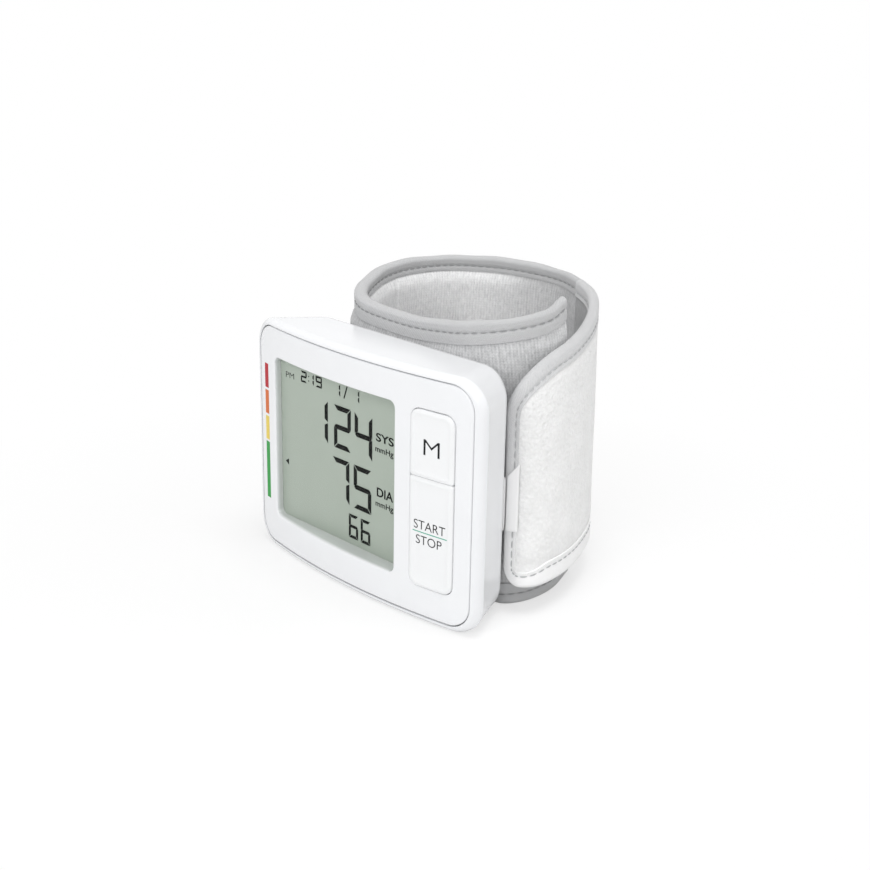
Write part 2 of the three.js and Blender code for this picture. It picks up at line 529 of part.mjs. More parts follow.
// Keys: bowed caps in one bay, each with a flange behind the face plate and a stem over its dome.
const capBack = PANEL_THICKNESS + KEY_GAP + KEY_FLANGE;
const keyCaps = bowedSlab(-KEY_PROUD, capBack).intersect(prismY(keyBayShape(-KEY_GAP), -FAR, FAR)).add(
  bowedSlab(PANEL_THICKNESS + KEY_GAP, capBack).intersect(prismY(keyBayShape(KEY_FLANGE), -FAR, FAR)));
const stemY = frontY(KEY_X) + PANEL_THICKNESS;
const stemLength = BOARD_Y - SEAT_GAP - DOME_HEIGHT - SEAT_GAP - stemY;
const memoryZ = (KEY_SPLIT_Z + MIDDLE_Z + KEY_BAY_HEIGHT / 2) / 2;
const startZ = (KEY_SPLIT_Z + MIDDLE_Z - KEY_BAY_HEIGHT / 2) / 2;
const above = keyCaps.trimByPlane([0, 0, 1], KEY_SPLIT_Z + KEY_GAP / 2);
const below = keyCaps.trimByPlane([0, 0, -1], KEY_GAP / 2 - KEY_SPLIT_Z);
const domeProfile = [
  [0, -DOME_HEIGHT], [DOME_TOP_RADIUS, -DOME_HEIGHT], [DOME_SHOULDER_RADIUS, -DOME_HEIGHT / 2],
  [DOME_RADIUS, 0], [0, 0],
];
for (const [label, cap, z] of [['memory', above, memoryZ], ['start', below, startZ]]) {
  piece(`${label}_key`, cap.add(bar('y', [KEY_X, stemY, z], stemLength, KEY_STEM_RADIUS)), WHITE_KEY);
  piece(`${label}_dome`, turned(domeProfile, 0, [KEY_X, BOARD_Y - SEAT_GAP, z]), PALE_RUBBER);
}

// Board: behind the display's upper part and the keys, clear of the cells, held on the posts by screws.
const boardSplitX = WINDOW_RIGHT + LCD_BORDER + STACK_GAP;
const boardSplitZ = TRAY_HIGH + TRAY_WALL + STACK_GAP;
const boardShape = new THREE.Shape([
  new THREE.Vector2(-BOARD_HALF, boardSplitZ), new THREE.Vector2(boardSplitX, boardSplitZ),
  new THREE.Vector2(boardSplitX, BOARD_LOW), new THREE.Vector2(BOARD_HALF, BOARD_LOW),
  new THREE.Vector2(BOARD_HALF, BOARD_HIGH), new THREE.Vector2(-BOARD_HALF, BOARD_HIGH),
]);
let board = prismY(boardShape, BOARD_Y, BOARD_BACK_Y);
for (const [i, [x, z]] of boardPosts.entries()) {
  board = board.subtract(bar('y', [x, -FAR, z], 2 * FAR, SCREW_RADIUS + RUNNING_GAP));
  screw(`board_screw_${i + 1}`, x, BOARD_BACK_Y + SEAT_GAP, z, BOARD_SCREW_LENGTH);
}
piece('main_board', board, BOARD_GREEN);
const onBoard = BOARD_BACK_Y + SEAT_GAP;
const buzzerX = BOARD_HALF - BUZZER_SIDE_ROOM - BUZZER_RADIUS;
const buzzerZ = BOARD_LOW + BUZZER_RADIUS + 2 * postInset;
piece('buzzer', bar('y', [buzzerX, onBoard, buzzerZ], BUZZER_HEIGHT, BUZZER_RADIUS), DARK_RUBBER);
const SENSOR_X = BOARD_HALF - SENSOR_SIDE_ROOM - SENSOR_SIZE / 2;
const sensorTop = PUMP_Z + SENSOR_SIZE / 2;
const sensorBox = box([SENSOR_X - SENSOR_SIZE / 2, onBoard, PUMP_Z - SENSOR_SIZE / 2],
  [SENSOR_X + SENSOR_SIZE / 2, onBoard + SENSOR_HEIGHT, sensorTop]);
const nozzleLength = sensorTop + SENSOR_NOZZLE_LENGTH - PUMP_Z;
const nozzle = bar('z', [SENSOR_X, LINE_Y, PUMP_Z], nozzleLength, SENSOR_NOZZLE_RADIUS);
piece('pressure_sensor', sensorBox.add(nozzle), WHITE_MATTE);

// Cells in their tray, across the housing, with contacts at the right and a bridge on the door.
const trayOuter = box([CELL_LEFT, FRAME_BACK_Y + SEAT_GAP, TRAY_LOW - TRAY_WALL],
  [TRAY_RIGHT + TRAY_WALL, LEDGE_Y - SEAT_GAP, TRAY_HIGH + TRAY_WALL]);
const trayRoom = box([-FAR, -FAR, TRAY_LOW], [TRAY_RIGHT, FAR, TRAY_HIGH]);
piece('battery_tray', trayOuter.subtract(trayRoom), WHITE_MATTE);
const cellProfile = [
  [0, 0], [CELL_RADIUS - CELL_EDGE, 0], [CELL_RADIUS, CELL_EDGE], [CELL_RADIUS, CELL_LENGTH - CELL_EDGE],
  [CELL_RADIUS - CELL_EDGE, CELL_LENGTH], [CELL_NUB_RADIUS, CELL_LENGTH],
  [CELL_NUB_RADIUS, CELL_LENGTH + CELL_NUB_LENGTH], [0, CELL_LENGTH + CELL_NUB_LENGTH],
];
piece('battery_cell_1', turned(cellProfile, -Math.PI / 2, [CELL_LEFT, CELL_Y, CELL_LOW_Z]), CELL_JACKET);
piece('battery_cell_2', turned(cellProfile, Math.PI / 2, [CELL_RIGHT, CELL_Y, CELL_HIGH_Z]), CELL_JACKET);
const contactX = TRAY_RIGHT - SEAT_GAP;
const contactHalf = CONTACT_SIZE / 2;
const contactPlate = (z) => box([contactX - CONTACT_THICKNESS, CELL_Y - contactHalf, z - contactHalf],
  [contactX, CELL_Y + contactHalf, z + contactHalf]);
const plusReach = CONTACT_ROOM - 2 * SEAT_GAP;
const plusStud = bar('x', [contactX - plusReach, CELL_Y, CELL_LOW_Z], plusReach, CELL_NUB_RADIUS);
piece('plus_contact', contactPlate(CELL_LOW_Z).add(plusStud), STEEL);
const springReach = plusReach + CELL_NUB_LENGTH;
const springProfile = [[0, 0], [contactHalf, 0], [CELL_NUB_RADIUS, springReach], [0, springReach]];
const spring = turned(springProfile, Math.PI / 2, [contactX, CELL_Y, CELL_HIGH_Z]);
piece('minus_contact', contactPlate(CELL_HIGH_Z).add(spring), STEEL);
const bridgeGroup = new THREE.Group();
bridgeGroup.position.set(STACK_GAP - wallInside(CELL_Y), CELL_Y, (CELL_LOW_Z + CELL_HIGH_Z) / 2);
bridgeGroup.rotation.z = -Math.atan2(wallInside(DOOR_FRONT_Y) - wallInside(PIN_Y), PIN_Y - DOOR_FRONT_Y);
part.add(bridgeGroup);
const bridgeHalf = (CELL_HIGH_Z - CELL_LOW_Z + CELL_RADIUS) / 2;
const bridge = box([0, -CELL_RADIUS / 2, -bridgeHalf], [CONTACT_THICKNESS, CELL_RADIUS / 2, bridgeHalf]);
piece('door_contact', bridge, STEEL, bridgeGroup);

// Pump: a motor, a crank on its shaft, a head with the chamber that the crank turns in, and a foam pad.
const motorProfile = [
  [0, 0], [PUMP_RADIUS - PUMP_EDGE, 0], [PUMP_RADIUS, PUMP_EDGE], [PUMP_RADIUS, PUMP_LENGTH],
  [0, PUMP_LENGTH],
];
piece('pump_motor', turned(motorProfile, -Math.PI / 2, [PUMP_LEFT, PUMP_Y, PUMP_Z]), STEEL);
const chamberDepth = 2 * CRANK_THICKNESS + 3 * STACK_GAP;
const chamber = bar('x', [HEAD_LEFT - OVERRUN, PUMP_Y, PUMP_Z], OVERRUN + chamberDepth,
  CRANK_RADIUS + STACK_GAP);
const headBlock = box([HEAD_LEFT, PUMP_Y - PUMP_RADIUS, PUMP_Z - PUMP_RADIUS - PUMP_HEAD_WALL],
  [HEAD_RIGHT, PUMP_Y + PUMP_RADIUS, HEAD_TOP]);
piece('pump_head', headBlock.subtract(chamber), DARK_RUBBER);
const discX = HEAD_LEFT + STACK_GAP;
const disc = bar('x', [discX, PUMP_Y, PUMP_Z], CRANK_THICKNESS, CRANK_RADIUS);
const crankPin = bar('x', [discX, PUMP_Y, PUMP_Z + CRANK_THROW], 2 * CRANK_THICKNESS, SHAFT_RADIUS);
const shaft = bar('x', [PUMP_RIGHT + SEAT_GAP, PUMP_Y, PUMP_Z], discX - PUMP_RIGHT, SHAFT_RADIUS);
piece('pump_crank', disc.add(crankPin).add(shaft), BRASS);
const padLeft = COVER_LAP - COVER_WIDTH / 2;
piece('pump_pad', box([padLeft, PUMP_Y + PUMP_RADIUS + SEAT_GAP, PUMP_Z - PUMP_RADIUS / 2],
  [PUMP_RIGHT - PUMP_EDGE, COVER_Y - SEAT_GAP, PUMP_Z + PUMP_RADIUS / 2]), DARK_RUBBER);

// Valve: a block on the board with a plunger in its bore.
const VALVE_RIGHT = VALVE_LEFT + VALVE_LENGTH;
const valveY = onBoard + VALVE_SIZE / 2;
const valveTop = PUMP_Z + VALVE_SIZE / 2;
const valveBlock = box([VALVE_LEFT, onBoard, PUMP_Z - VALVE_SIZE / 2],
  [VALVE_RIGHT, onBoard + VALVE_SIZE, valveTop]);
const plungerX = VALVE_RIGHT + PLUNGER_PROUD - PLUNGER_LENGTH;
const boreX = plungerX - PLUNGER_STROKE - STACK_GAP;
const bore = bar('x', [boreX, valveY, PUMP_Z], FAR, PLUNGER_RADIUS + RUNNING_GAP);
piece('valve_body', valveBlock.subtract(bore), STEEL);
piece('valve_plunger', bar('x', [plungerX, valveY, PUMP_Z], PLUNGER_LENGTH, PLUNGER_RADIUS), BRASS);

// Air line: one moulded tube above the pump and the valve, with a branch to each piece, and the nipple
// that carries the air through the rear cover to the cuff.
const branch = (x, lowZ) => bar(
  'z', [x, LINE_Y, lowZ + SEAT_GAP], LINE_Z - lowZ - SEAT_GAP, AIR_TUBE_RADIUS);
const lineStart = HEAD_RIGHT - 2 * AIR_TUBE_RADIUS;
const airLine = bar('x', [lineStart, LINE_Y, LINE_Z], SENSOR_X - lineStart, AIR_TUBE_RADIUS)
  .add(branch(lineStart, HEAD_TOP))
  .add(branch((VALVE_LEFT + VALVE_RIGHT) / 2, valveTop))
  .add(branch(SENSOR_X, sensorTop + SENSOR_NOZZLE_LENGTH))
  .add(bar('y', [NIPPLE_X, LINE_Y, LINE_Z], NIPPLE_Y - SEAT_GAP - LINE_Y, AIR_TUBE_RADIUS));
piece('air_manifold', airLine, PALE_RUBBER);
const nippleLength = CUFF_Y + BLADDER_IN - STACK_GAP - NIPPLE_Y;
const nippleProfile = [
  [NIPPLE_BORE_RADIUS, 0], [AIR_TUBE_RADIUS, 0], [AIR_TUBE_RADIUS, nippleLength],
  [NIPPLE_BORE_RADIUS, nippleLength], [NIPPLE_BORE_RADIUS, 0],
];
piece('cuff_nipple', turned(nippleProfile, 0, [NIPPLE_X, NIPPLE_Y, LINE_Z]), PALE_RUBBER);

// Rear cover: a plate on the ledge with sunk screws, and bosses for the cuff's screws.
let cover = prismY(coverShape(0), COVER_Y, BACK_Y);
for (const [x, z] of cuffScrews) {
  const boss = bar('y', [x, LEDGE_Y + SEAT_GAP, z], BACK_Y - LEDGE_Y - 2 * SEAT_GAP, SCREW_BOSS_RADIUS);
  cover = cover.add(boss).subtract(bar('y', [x, -FAR, z], 2 * FAR, SCREW_RADIUS + RUNNING_GAP));
}
for (const [i, [x, z]] of rearScrews.entries()) {
  const seatY = BACK_Y - SCREW_HEAD_HEIGHT;
  cover = cover.subtract(bar('y', [x, -FAR, z], 2 * FAR, SCREW_RADIUS + RUNNING_GAP));
  cover = cover.subtract(bar('y', [x, seatY - SEAT_GAP, z], FAR, SCREW_HEAD_RADIUS + RUNNING_GAP));
  screw(`rear_screw_${i + 1}`, x, seatY, z, REAR_SCREW_LENGTH);
}
piece('rear_cover', cover.subtract(nippleHole), WHITE_MATTE);

// Lines of the cloth's outer face, evenly spaced: the strip's foot and rim, the flap's foot and top.
const line = (points) => new THREE.CatmullRomCurve3(
  new THREE.CatmullRomCurve3(points).getSpacedPoints(2 * STRIP_STEPS));
const behind = ([x, y], z) => new THREE.Vector3(x, CUFF_Y + y, z);
const cuffEnd = CUFF_LINE.at(-1);
const cuffRim = line(CUFF_LINE.map((point) => behind(point, CUFF_HEIGHT + point[2])));
const cuffFoot = line(CUFF_LINE.map((point, i) => behind(CUFF_FOOT[i] ?? point, 0)));
const flapTop = line([cuffEnd, ...FLAP_TOP_LINE].map((point) => behind(point, CUFF_HEIGHT)));
const flapFoot = line([cuffEnd, ...FLAP_FOOT_LINE].map((point) => behind(point, FLAP_FOOT)));

// A point between a foot line and a top line: at a share of their length, at a height, moved inwards.
function clothPoint([foot, top], share, z, inwards) {
  const at = (s) => {
    const low = foot.getPoint(s);
    const high = top.getPoint(s);
    return low.clone().lerp(high, (z - low.z) / (high.z - low.z));
  };
  const here = at(share);
  const ahead = at(Math.min(share + CURVE_STEP, 1));
  const way = ahead.sub(at(Math.max(share - CURVE_STEP, 0))).setZ(0).normalize();
  return [here.x + way.y * inwards, here.y - way.x * inwards, z];
}

// A layer of cloth along such lines, between two depths and two heights that may change along it.
function layer(lines, shares, depths, heights) {
  return skin(shares.map((share) => {
    const [outer, inner] = depths(share);
    const [low, high] = heights(share);
    return [[outer, low], [outer, high], [inner, high], [inner, low]].map(
      ([depth, z]) => clothPoint(lines, share, z, depth));
  }));
}
const spread = (from, to, count) => (
  Array.from({ length: count + 1 }, (_, k) => from + (to - from) * k / count));

// Cuff: sleeve, stiffener, bladder, lining and two edge bindings. It thins at both ends.
const strip = [cuffFoot, cuffRim];
const stripLength = cuffRim.getLength();
const stripShares = spread(0, 1, STRIP_STEPS);
const innerShares = spread(PAD_FULL / stripLength, 1 - PAD_THIN / stripLength, STRIP_STEPS / 2);
const climb = THREE.MathUtils.smoothstep;
const thickness = (share) => {
  const along = share * stripLength;
  const full = climb(along, PAD_START, PAD_FULL) * climb(stripLength - along, PAD_STOP, PAD_THIN);
  return CUFF_END_THICKNESS + (CUFF_THICKNESS - CUFF_END_THICKNESS) * full;
};
const rimZ = (share) => cuffRim.getPoint(share).z;
const between = (margin) => (share) => [
  BINDING_HEIGHT + STACK_GAP + margin, rimZ(share) - BINDING_HEIGHT - STACK_GAP - margin];
const bindingDepths = (share) => {
  const middle = thickness(share) / 2;
  const half = Math.min(BINDING_THICKNESS / 2, middle);
  return [middle - half, middle + half];
};
let sleeve = layer(strip, stripShares, () => [0, SLEEVE_THICKNESS], between(0)).subtract(nippleHole);
let stiffener = layer(strip, innerShares, () => [STIFFENER_IN, STIFFENER_IN + STIFFENER_THICKNESS],
  between(STIFFENER_MARGIN)).subtract(nippleHole);
const screwRun = CUFF_Y + BLADDER_IN - LEDGE_Y;
for (const [i, [x, z]] of cuffScrews.entries()) {
  const hole = bar('y', [x, LEDGE_Y, z], screwRun, SCREW_RADIUS + RUNNING_GAP);
  const underHead = stiffener.intersect(bar('y', [x, LEDGE_Y, z], screwRun, SCREW_HEAD_RADIUS));
  const seatY = underHead.boundingBox().max[1] + SEAT_GAP;
  screw(`cuff_screw_${i + 1}`, x, seatY, z, seatY - LEDGE_Y - 2 * SEAT_GAP);
  sleeve = sleeve.subtract(hole);
  stiffener = stiffener.subtract(hole);
}
piece('cuff_sleeve', sleeve, GREY_KNIT);
piece('cuff_stiffener', stiffener, WHITE_MATTE);
piece('air_bladder', layer(strip, innerShares, () => [BLADDER_IN, BLADDER_IN + BLADDER_THICKNESS],
  between(BLADDER_MARGIN)), PALE_RUBBER);
piece('cuff_lining', layer(strip, stripShares,
  (share) => [thickness(share) - LINING_THICKNESS, thickness(share)], between(0)), GREY_KNIT);
piece('top_binding', layer(strip, stripShares, bindingDepths,
  (share) => [rimZ(share) - BINDING_HEIGHT, rimZ(share)]), GREY_TAPE);
piece('bottom_binding', layer(strip, stripShares, bindingDepths, () => [0, BINDING_HEIGHT]), GREY_TAPE);
const hookEnd = HOOK_START + HOOK_LENGTH;
const hookShares = spread(HOOK_START / stripLength, hookEnd / stripLength, 2 * CORNER_STEPS);
piece('hook_patch', layer(strip, hookShares, () => [-HOOK_THICKNESS - RUNNING_GAP, -RUNNING_GAP],
  () => [HOOK_LOW, HOOK_HIGH]), DARK_RUBBER);

// Flap: its upper edge falls gently to a long round corner, and it has a small one at the foot. The binding
// runs along the foot, the front edge and the top; the tab with its bar sits on the front edge.
const flap = [flapFoot, flapTop];
const flapLength = flapFoot.getLength();
const flapRimZ = CUFF_HEIGHT + cuffEnd[2];
const roundFall = (along, run, inset) => {
  const reach = Math.max(along - (flapLength - run), 0) / (run - inset);
  return 1 - Math.sqrt(Math.max(1 - reach * reach, 0));
};
const flapHeights = (inset) => (share) => {
  const along = share * flapLength;
  const foot = FLAP_FOOT * climb(along, 0, FLAP_FOOT_RUN);
  const low = foot + inset + (FLAP_LOW_CORNER - inset) * roundFall(along, FLAP_LOW_CORNER, inset);
  const edge = flapRimZ - FLAP_FALL * climb(along, FLAP_FALL_START, flapLength);
  const high = edge - inset - (FLAP_CORNER_DROP - inset) * roundFall(along, FLAP_CORNER_RUN, inset);
  return [low, high];
};
const flapShares = (start, inset) => {
  const first = start / flapLength;
  const last = 1 - inset / flapLength;
  return spread(0, Math.PI / 2, FLAP_STEPS).map((angle) => first + (last - first) * Math.sin(angle));
};
const edgeCut = layer(flap, flapShares(0, FLAP_BINDING_WIDTH), () => [-FLAP_THICKNESS, 2 * FLAP_THICKNESS],
  flapHeights(FLAP_BINDING_WIDTH));
const flapSlab = layer(flap, flapShares(FLAP_GAP, 0),
  () => [-FLAP_BINDING_LIFT, FLAP_THICKNESS + FLAP_BINDING_LIFT], flapHeights(0));
piece('flap_binding', flapSlab.subtract(edgeCut), GREY_TAPE);
const panelInset = FLAP_BINDING_WIDTH + STACK_GAP;
piece('flap_panel', layer(flap, flapShares(FLAP_GAP, panelInset), () => [0, FLAP_THICKNESS],
  flapHeights(panelInset)), WHITE_LOOP);
const tabFace = -FLAP_BINDING_LIFT - RUNNING_GAP;
const tabLayer = (reach, height) => layer(flap, spread(1 - reach / flapLength, 1, CORNER_STEPS),
  () => [tabFace - height, tabFace], () => [TAB_LOW, TAB_HIGH]);
const tabBar = tabLayer(TAB_BAR_WIDTH, TAB_BAR_THICKNESS);
piece('pull_tab', tabLayer(TAB_REACH, TAB_THICKNESS).add(tabBar), WHITE_MATTE);

export default part;
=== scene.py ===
import bmesh
import bpy
import numpy as np
from mathutils import Matrix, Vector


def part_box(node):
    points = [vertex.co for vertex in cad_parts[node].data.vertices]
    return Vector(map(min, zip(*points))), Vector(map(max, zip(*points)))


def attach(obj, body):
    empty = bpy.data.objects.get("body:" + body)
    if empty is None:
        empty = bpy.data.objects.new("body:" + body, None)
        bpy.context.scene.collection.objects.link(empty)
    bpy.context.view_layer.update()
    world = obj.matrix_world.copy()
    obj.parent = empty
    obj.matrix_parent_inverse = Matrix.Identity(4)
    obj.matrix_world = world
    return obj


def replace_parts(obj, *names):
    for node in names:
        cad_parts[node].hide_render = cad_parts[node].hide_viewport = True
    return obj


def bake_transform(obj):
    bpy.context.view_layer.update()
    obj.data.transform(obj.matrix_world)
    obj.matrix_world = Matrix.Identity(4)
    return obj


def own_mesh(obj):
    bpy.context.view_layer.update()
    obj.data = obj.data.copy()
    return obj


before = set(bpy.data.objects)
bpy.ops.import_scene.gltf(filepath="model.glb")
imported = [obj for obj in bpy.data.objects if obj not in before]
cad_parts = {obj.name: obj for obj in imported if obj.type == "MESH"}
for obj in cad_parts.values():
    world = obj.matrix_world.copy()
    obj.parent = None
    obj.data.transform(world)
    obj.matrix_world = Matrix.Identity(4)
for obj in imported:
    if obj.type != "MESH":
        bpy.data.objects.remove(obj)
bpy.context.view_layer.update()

# Housing: a tub of glossy white plastic, moulded in one piece. Its rim is rounded over at the front, its
# walls draw in to the back, and the left wall is open where the battery door sits. Each ring of the tub
# is its half width, low, high, corner radius, depth and share of the bow.
MM = 0.001
BOW = 1 / 392
FRONT_Y, BACK_Y, LEDGE_Y, HALL_Y = -12.0, 8.912, 7.662, 6.312
PANEL_LEDGE = np.array([0, 0, 0, 0, 1.65, 0])
RIM_INSIDE = np.array([40.3, 1.5, 61.9, 6.3, FRONT_Y, 1])
RIM_OUTSIDE = np.array([42.4, 0, 63.4, 7.8, -10.0, 1])
WALL_END = np.array([35.5, 0, 62.6, 7.8, BACK_Y, 0])
BACK_EDGE = np.array([31.5, 4.0, 58.6, 3.8, BACK_Y, 0])
COVER_HOLE, CUFF_HOLE = (30.3, 4.7, 57.9, 3.3), (25.1, 9.9, 52.7, 0.3)
HALL_BACK = np.array([33.9, 3, 61, 4.8, HALL_Y, 0])
HALL_FRONT = np.array([38.5, 3, 60.4, 4.8, -10.35, 1])
BEND_Y = 4.912
DOORWAY_Y = (-4.79, 6.2)
DOOR_RUN, DOOR_COLUMNS = 14, 6
SIDE_HEIGHTS = np.array([11.45, 15, 20, 25, 30, 33.75, 39, 44, 49])
BEND_STEPS = 10
SHARP = 35


def srgb(red, green, blue):
    """Linear colour of 8-bit display values, with an opaque alpha."""
    shares = np.array([red, green, blue]) / 255
    linear = np.where(shares < 0.04045, shares / 12.92, ((shares + 0.055) / 1.055) ** 2.4)
    return (*linear.tolist(), 1.0)


def tinted(tone, share):
    """A tone made paler or darker by a share."""
    return (*(min(channel * share, 1) for channel in tone[:3]), 1)


class Wire:
    """A shader socket; arithmetic on it, with numbers on either side, adds Math nodes."""

    def __init__(self, shading, socket):
        self.shading = shading
        self.socket = socket

    def maths(self, operation, *others):
        return self.shading.node("Math", {"operation": operation}, dict(enumerate((self, *others))))

    def __add__(self, other):
        return self.maths("ADD", other)

    def __sub__(self, other):
        return self.maths("SUBTRACT", other)

    def __rsub__(self, other):
        return self.maths("MULTIPLY_ADD", -1, other)

    def __mul__(self, other):
        return self.maths("MULTIPLY", other)

    def __truediv__(self, other):
        return self.maths("DIVIDE", other)

    def __mod__(self, other):
        return self.maths("FLOORED_MODULO", other)

    def __abs__(self):
        return self.maths("ABSOLUTE")

    __radd__ = __add__
    __rmul__ = __mul__


class Shading:
    """The nodes of one material, or of the world's light. fixed holds the shader's unvarying values."""

    def __init__(self, owner, fixed):
        owner.use_nodes = True
        self.owner = owner
        self.tree = owner.node_tree
        self.shader = self.tree.nodes.get("Principled BSDF") or self.tree.nodes.get("Background")
        for socket, value in fixed.items():
            self.shader.inputs[socket].default_value = value

    def node(self, kind, settings=None, sockets=None, out=0):
        """Adds a node: its settings first, then the values or links of its sockets; gives one output."""
        made = self.tree.nodes.new("ShaderNode" + kind)
        for key, value in (settings or {}).items():
            setattr(made, key, value)
        for key, value in (sockets or {}).items():
            if isinstance(value, Wire):
                self.tree.links.new(value.socket, made.inputs[key])
            else:
                made.inputs[key].default_value = value
        return Wire(self, made.outputs[out])

    def spot(self):
        """Place on the object, in metres."""
        return self.node("TexCoord", out="Object")

    def weave(self):
        """Place on the cloth, in mm along and across it."""
        return self.node("Attribute", {"attribute_name": "weave"}, out="Vector")

    def axis(self, place, way):
        """One of a place's three values."""
        return self.node("SeparateXYZ", {}, {0: place}, way)

    def noise(self, place, scale, detail, rough=0.5):
        """Cloudy noise, from 0 to 1."""
        sockets = {"Vector": place, "Scale": scale, "Detail": detail, "Roughness": rough}
        return self.node("TexNoise", {}, sockets)

    def ramp(self, value, start, end, low=0.0, high=1.0):
        """A straight rise from low to high between two values."""
        return self.node("MapRange", {}, {0: value, 1: start, 2: end, 3: low, 4: high})

    def mix(self, share, low, high):
        """The colour at a share of the way between two others."""
        return self.node("Mix", {"data_type": "RGBA"}, {0: share, 6: low, 7: high}, 2)

    def feed(self, socket, wire):
        self.tree.links.new(wire.socket, self.shader.inputs[socket])

    def cover(self, colour, rough, height, strength, depth):
        """Feeds a colour, a roughness and the bump of a height that stands for a depth in mm."""
        self.feed("Base Color", colour)
        self.feed("Roughness", rough)
        sockets = {"Strength": strength, "Distance": depth * MM, "Height": height}
        self.feed("Normal", self.node("Bump", {}, sockets))
        return self.owner


def finish(name, fixed):
    """A material whose unvarying values sit on the shader's own sockets."""
    return Shading(bpy.data.materials.new(name), fixed)


def gloss_plastic(name, tone, rough, peel, painted_recess_shade=None):
    """Moulded gloss plastic: a faint cloudiness in the colour, a fine orange peel in the gloss and the
    bump. The tone given last is painted on more than a millimetre behind the bowed front: painted shade
    and a painted reflection of the dark display on the window's recess walls."""
    paint = finish(name, {"Coat Weight": 0.2, "Coat Roughness": 0.12, "Specular IOR Level": 0.45})
    place = paint.spot()
    cloud = paint.noise(place, 90, 3)
    fine = paint.noise(place, 2600, 2)
    colour = paint.mix(cloud, tinted(tone, 0.975), tinted(tone, 1.015))
    # Painted shade: behind the bowed front the colour turns to the darker tone given last.
    if painted_recess_shade:
        x, y = (paint.axis(place, way) / MM for way in "XY")
        colour = paint.mix(paint.ramp(y - FRONT_Y - x * x * BOW, 0.4, 1.2), colour, painted_recess_shade)
    return paint.cover(colour, fine * 0.03 + cloud * 0.05 + (rough - 0.04), cloud, peel, 0.02)


def corner_loops(left, low, right, high, radii, steps):
    """Rounded rectangles in X and Z, clockwise from the top left: four quarter circles of given radii,
    joined by straight sides in even steps. The sizes may be arrays, for one loop each."""
    left, low, right, high = (np.asarray(side, float)[..., None] for side in (left, low, right, high))
    radii = np.broadcast_to(radii, (*left.shape[:-1], 4))
    turn = np.linspace(0, np.pi / 2, BEND_STEPS + 1)
    arcs = []
    for k, (x, in_x, z, in_z) in enumerate(
        [(left, 1, high, -1), (right, -1, high, -1), (right, -1, low, 1), (left, 1, low, 1)]
    ):
        radius = radii[..., k, None]
        angle = np.pi * (1 - k / 2) - turn
        arcs.append(np.stack([x + radius * (in_x + np.cos(angle)), z + radius * (in_z + np.sin(angle))], -1))
    runs = []
    for k, count in enumerate(steps):
        start, end = arcs[k][..., -1:, :], arcs[(k + 1) % 4][..., :1, :]
        runs += [arcs[k], start + (end - start) * np.linspace(0, 1, count + 2)[1:-1, None]]
    return np.concatenate(runs, axis=-2)


def set_at(plan, depth):
    """Points of a plan in X and Z, at depths along Y."""
    return np.stack(np.broadcast_arrays(plan[..., 0], depth, plan[..., 1]), -1)


def woven_faces(rows, columns, closed_rows=False):
    """Quads of a grid whose columns close on themselves, and whose rows may."""
    row = np.arange(rows if closed_rows else rows - 1)[:, None] * columns
    column = np.arange(columns)[None, :]
    after, beside = (row + columns) % (rows * columns), (column + 1) % columns
    return np.stack([row + column, row + beside, after + beside, after + column], -1).reshape(-1, 4)


def stand(name, data):
    """An object of its data, linked to the scene."""
    made = bpy.data.objects.new(name, data)
    bpy.context.scene.collection.objects.link(made)
    return made


def settle(name, mesh, body, paint):
    """A finished mesh as a piece, with its material and the body that it rides on, if
    any yet."""
    mesh.materials.clear()
    mesh.materials.append(paint)
    piece = stand(name, mesh)
    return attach(piece, body) if body else piece


def make(name, points, faces, body, paint, slot, sharp=SHARP, weave=None, ends=()):
    """A piece from points in mm and rows of corners, or from a grid alone: doubles merged, faces turned
    out, smooth but for edges sharper than an angle. weave gives each point its place on the cloth in
    mm."""
    if faces is None:
        faces = woven_faces(*points.shape[:2])
    mesh = bpy.data.meshes.new(name)
    points = (np.reshape(points, (-1, 3)) * MM).tolist()
    mesh.from_pydata(points, [], [*faces.tolist(), *(list(end) for end in ends)])
    if weave is not None:
        places = np.pad(np.reshape(weave, (-1, 2)), ((0, 0), (0, 1))).astype(np.float32)
        mesh.attributes.new("weave", "FLOAT_VECTOR", "POINT").data.foreach_set("vector", places.ravel())
    work = bmesh.new()
    work.from_mesh(mesh)
    bmesh.ops.remove_doubles(work, verts=work.verts, dist=1e-6)
    bmesh.ops.dissolve_degenerate(work, edges=work.edges, dist=1e-7)
    bmesh.ops.recalc_face_normals(work, faces=work.faces)
    work.to_mesh(mesh)
    work.free()
    mesh.shade_smooth()
    mesh.set_sharp_from_angle(angle=np.radians(sharp))
    return settle(name, mesh, body, paint)


def soften(piece, width):
    """Rounds the sharp edges of a moulded piece by a width in mm."""
    bevel = piece.modifiers.new("edge", "BEVEL")
    bevel.width = width * MM
    bevel.segments = 2
    bevel.limit_method = "ANGLE"
    bevel.angle_limit = np.radians(SHARP)
    return piece


def outer_wall(share):
    """Rings of the outer wall: straight from the rim at 0 to the bend at 1, then a parabola round the
    back edge to 2. The wall draws in evenly towards its end, and loses its bow at the bend."""
    wall, bend = np.clip(share, 0, 1)[:, None], np.clip(share - 1, 0, 1)[:, None]
    drawn = (BEND_Y - RIM_OUTSIDE[4]) / (BACK_Y - RIM_OUTSIDE[4])
    at_bend = RIM_OUTSIDE + (WALL_END - RIM_OUTSIDE) * drawn
    at_bend[5] = 0
    straight = RIM_OUTSIDE + (at_bend - RIM_OUTSIDE) * wall
    return (1 - bend) ** 2 * straight + 2 * bend * (1 - bend) * WALL_END + bend**2 * BACK_EDGE


def inner_wall(share):
    """Rings of the hollow's wall, straight from the back ledge at 0 to the face plate's ledge at 1."""
    return HALL_BACK + (HALL_FRONT - HALL_BACK) * share[:, None]


def side_depth(rings):
    """Depth of a ring at its side walls, where the bow sets it back."""
    return rings[:, 4] + rings[:, 5] * rings[:, 0] ** 2 * BOW


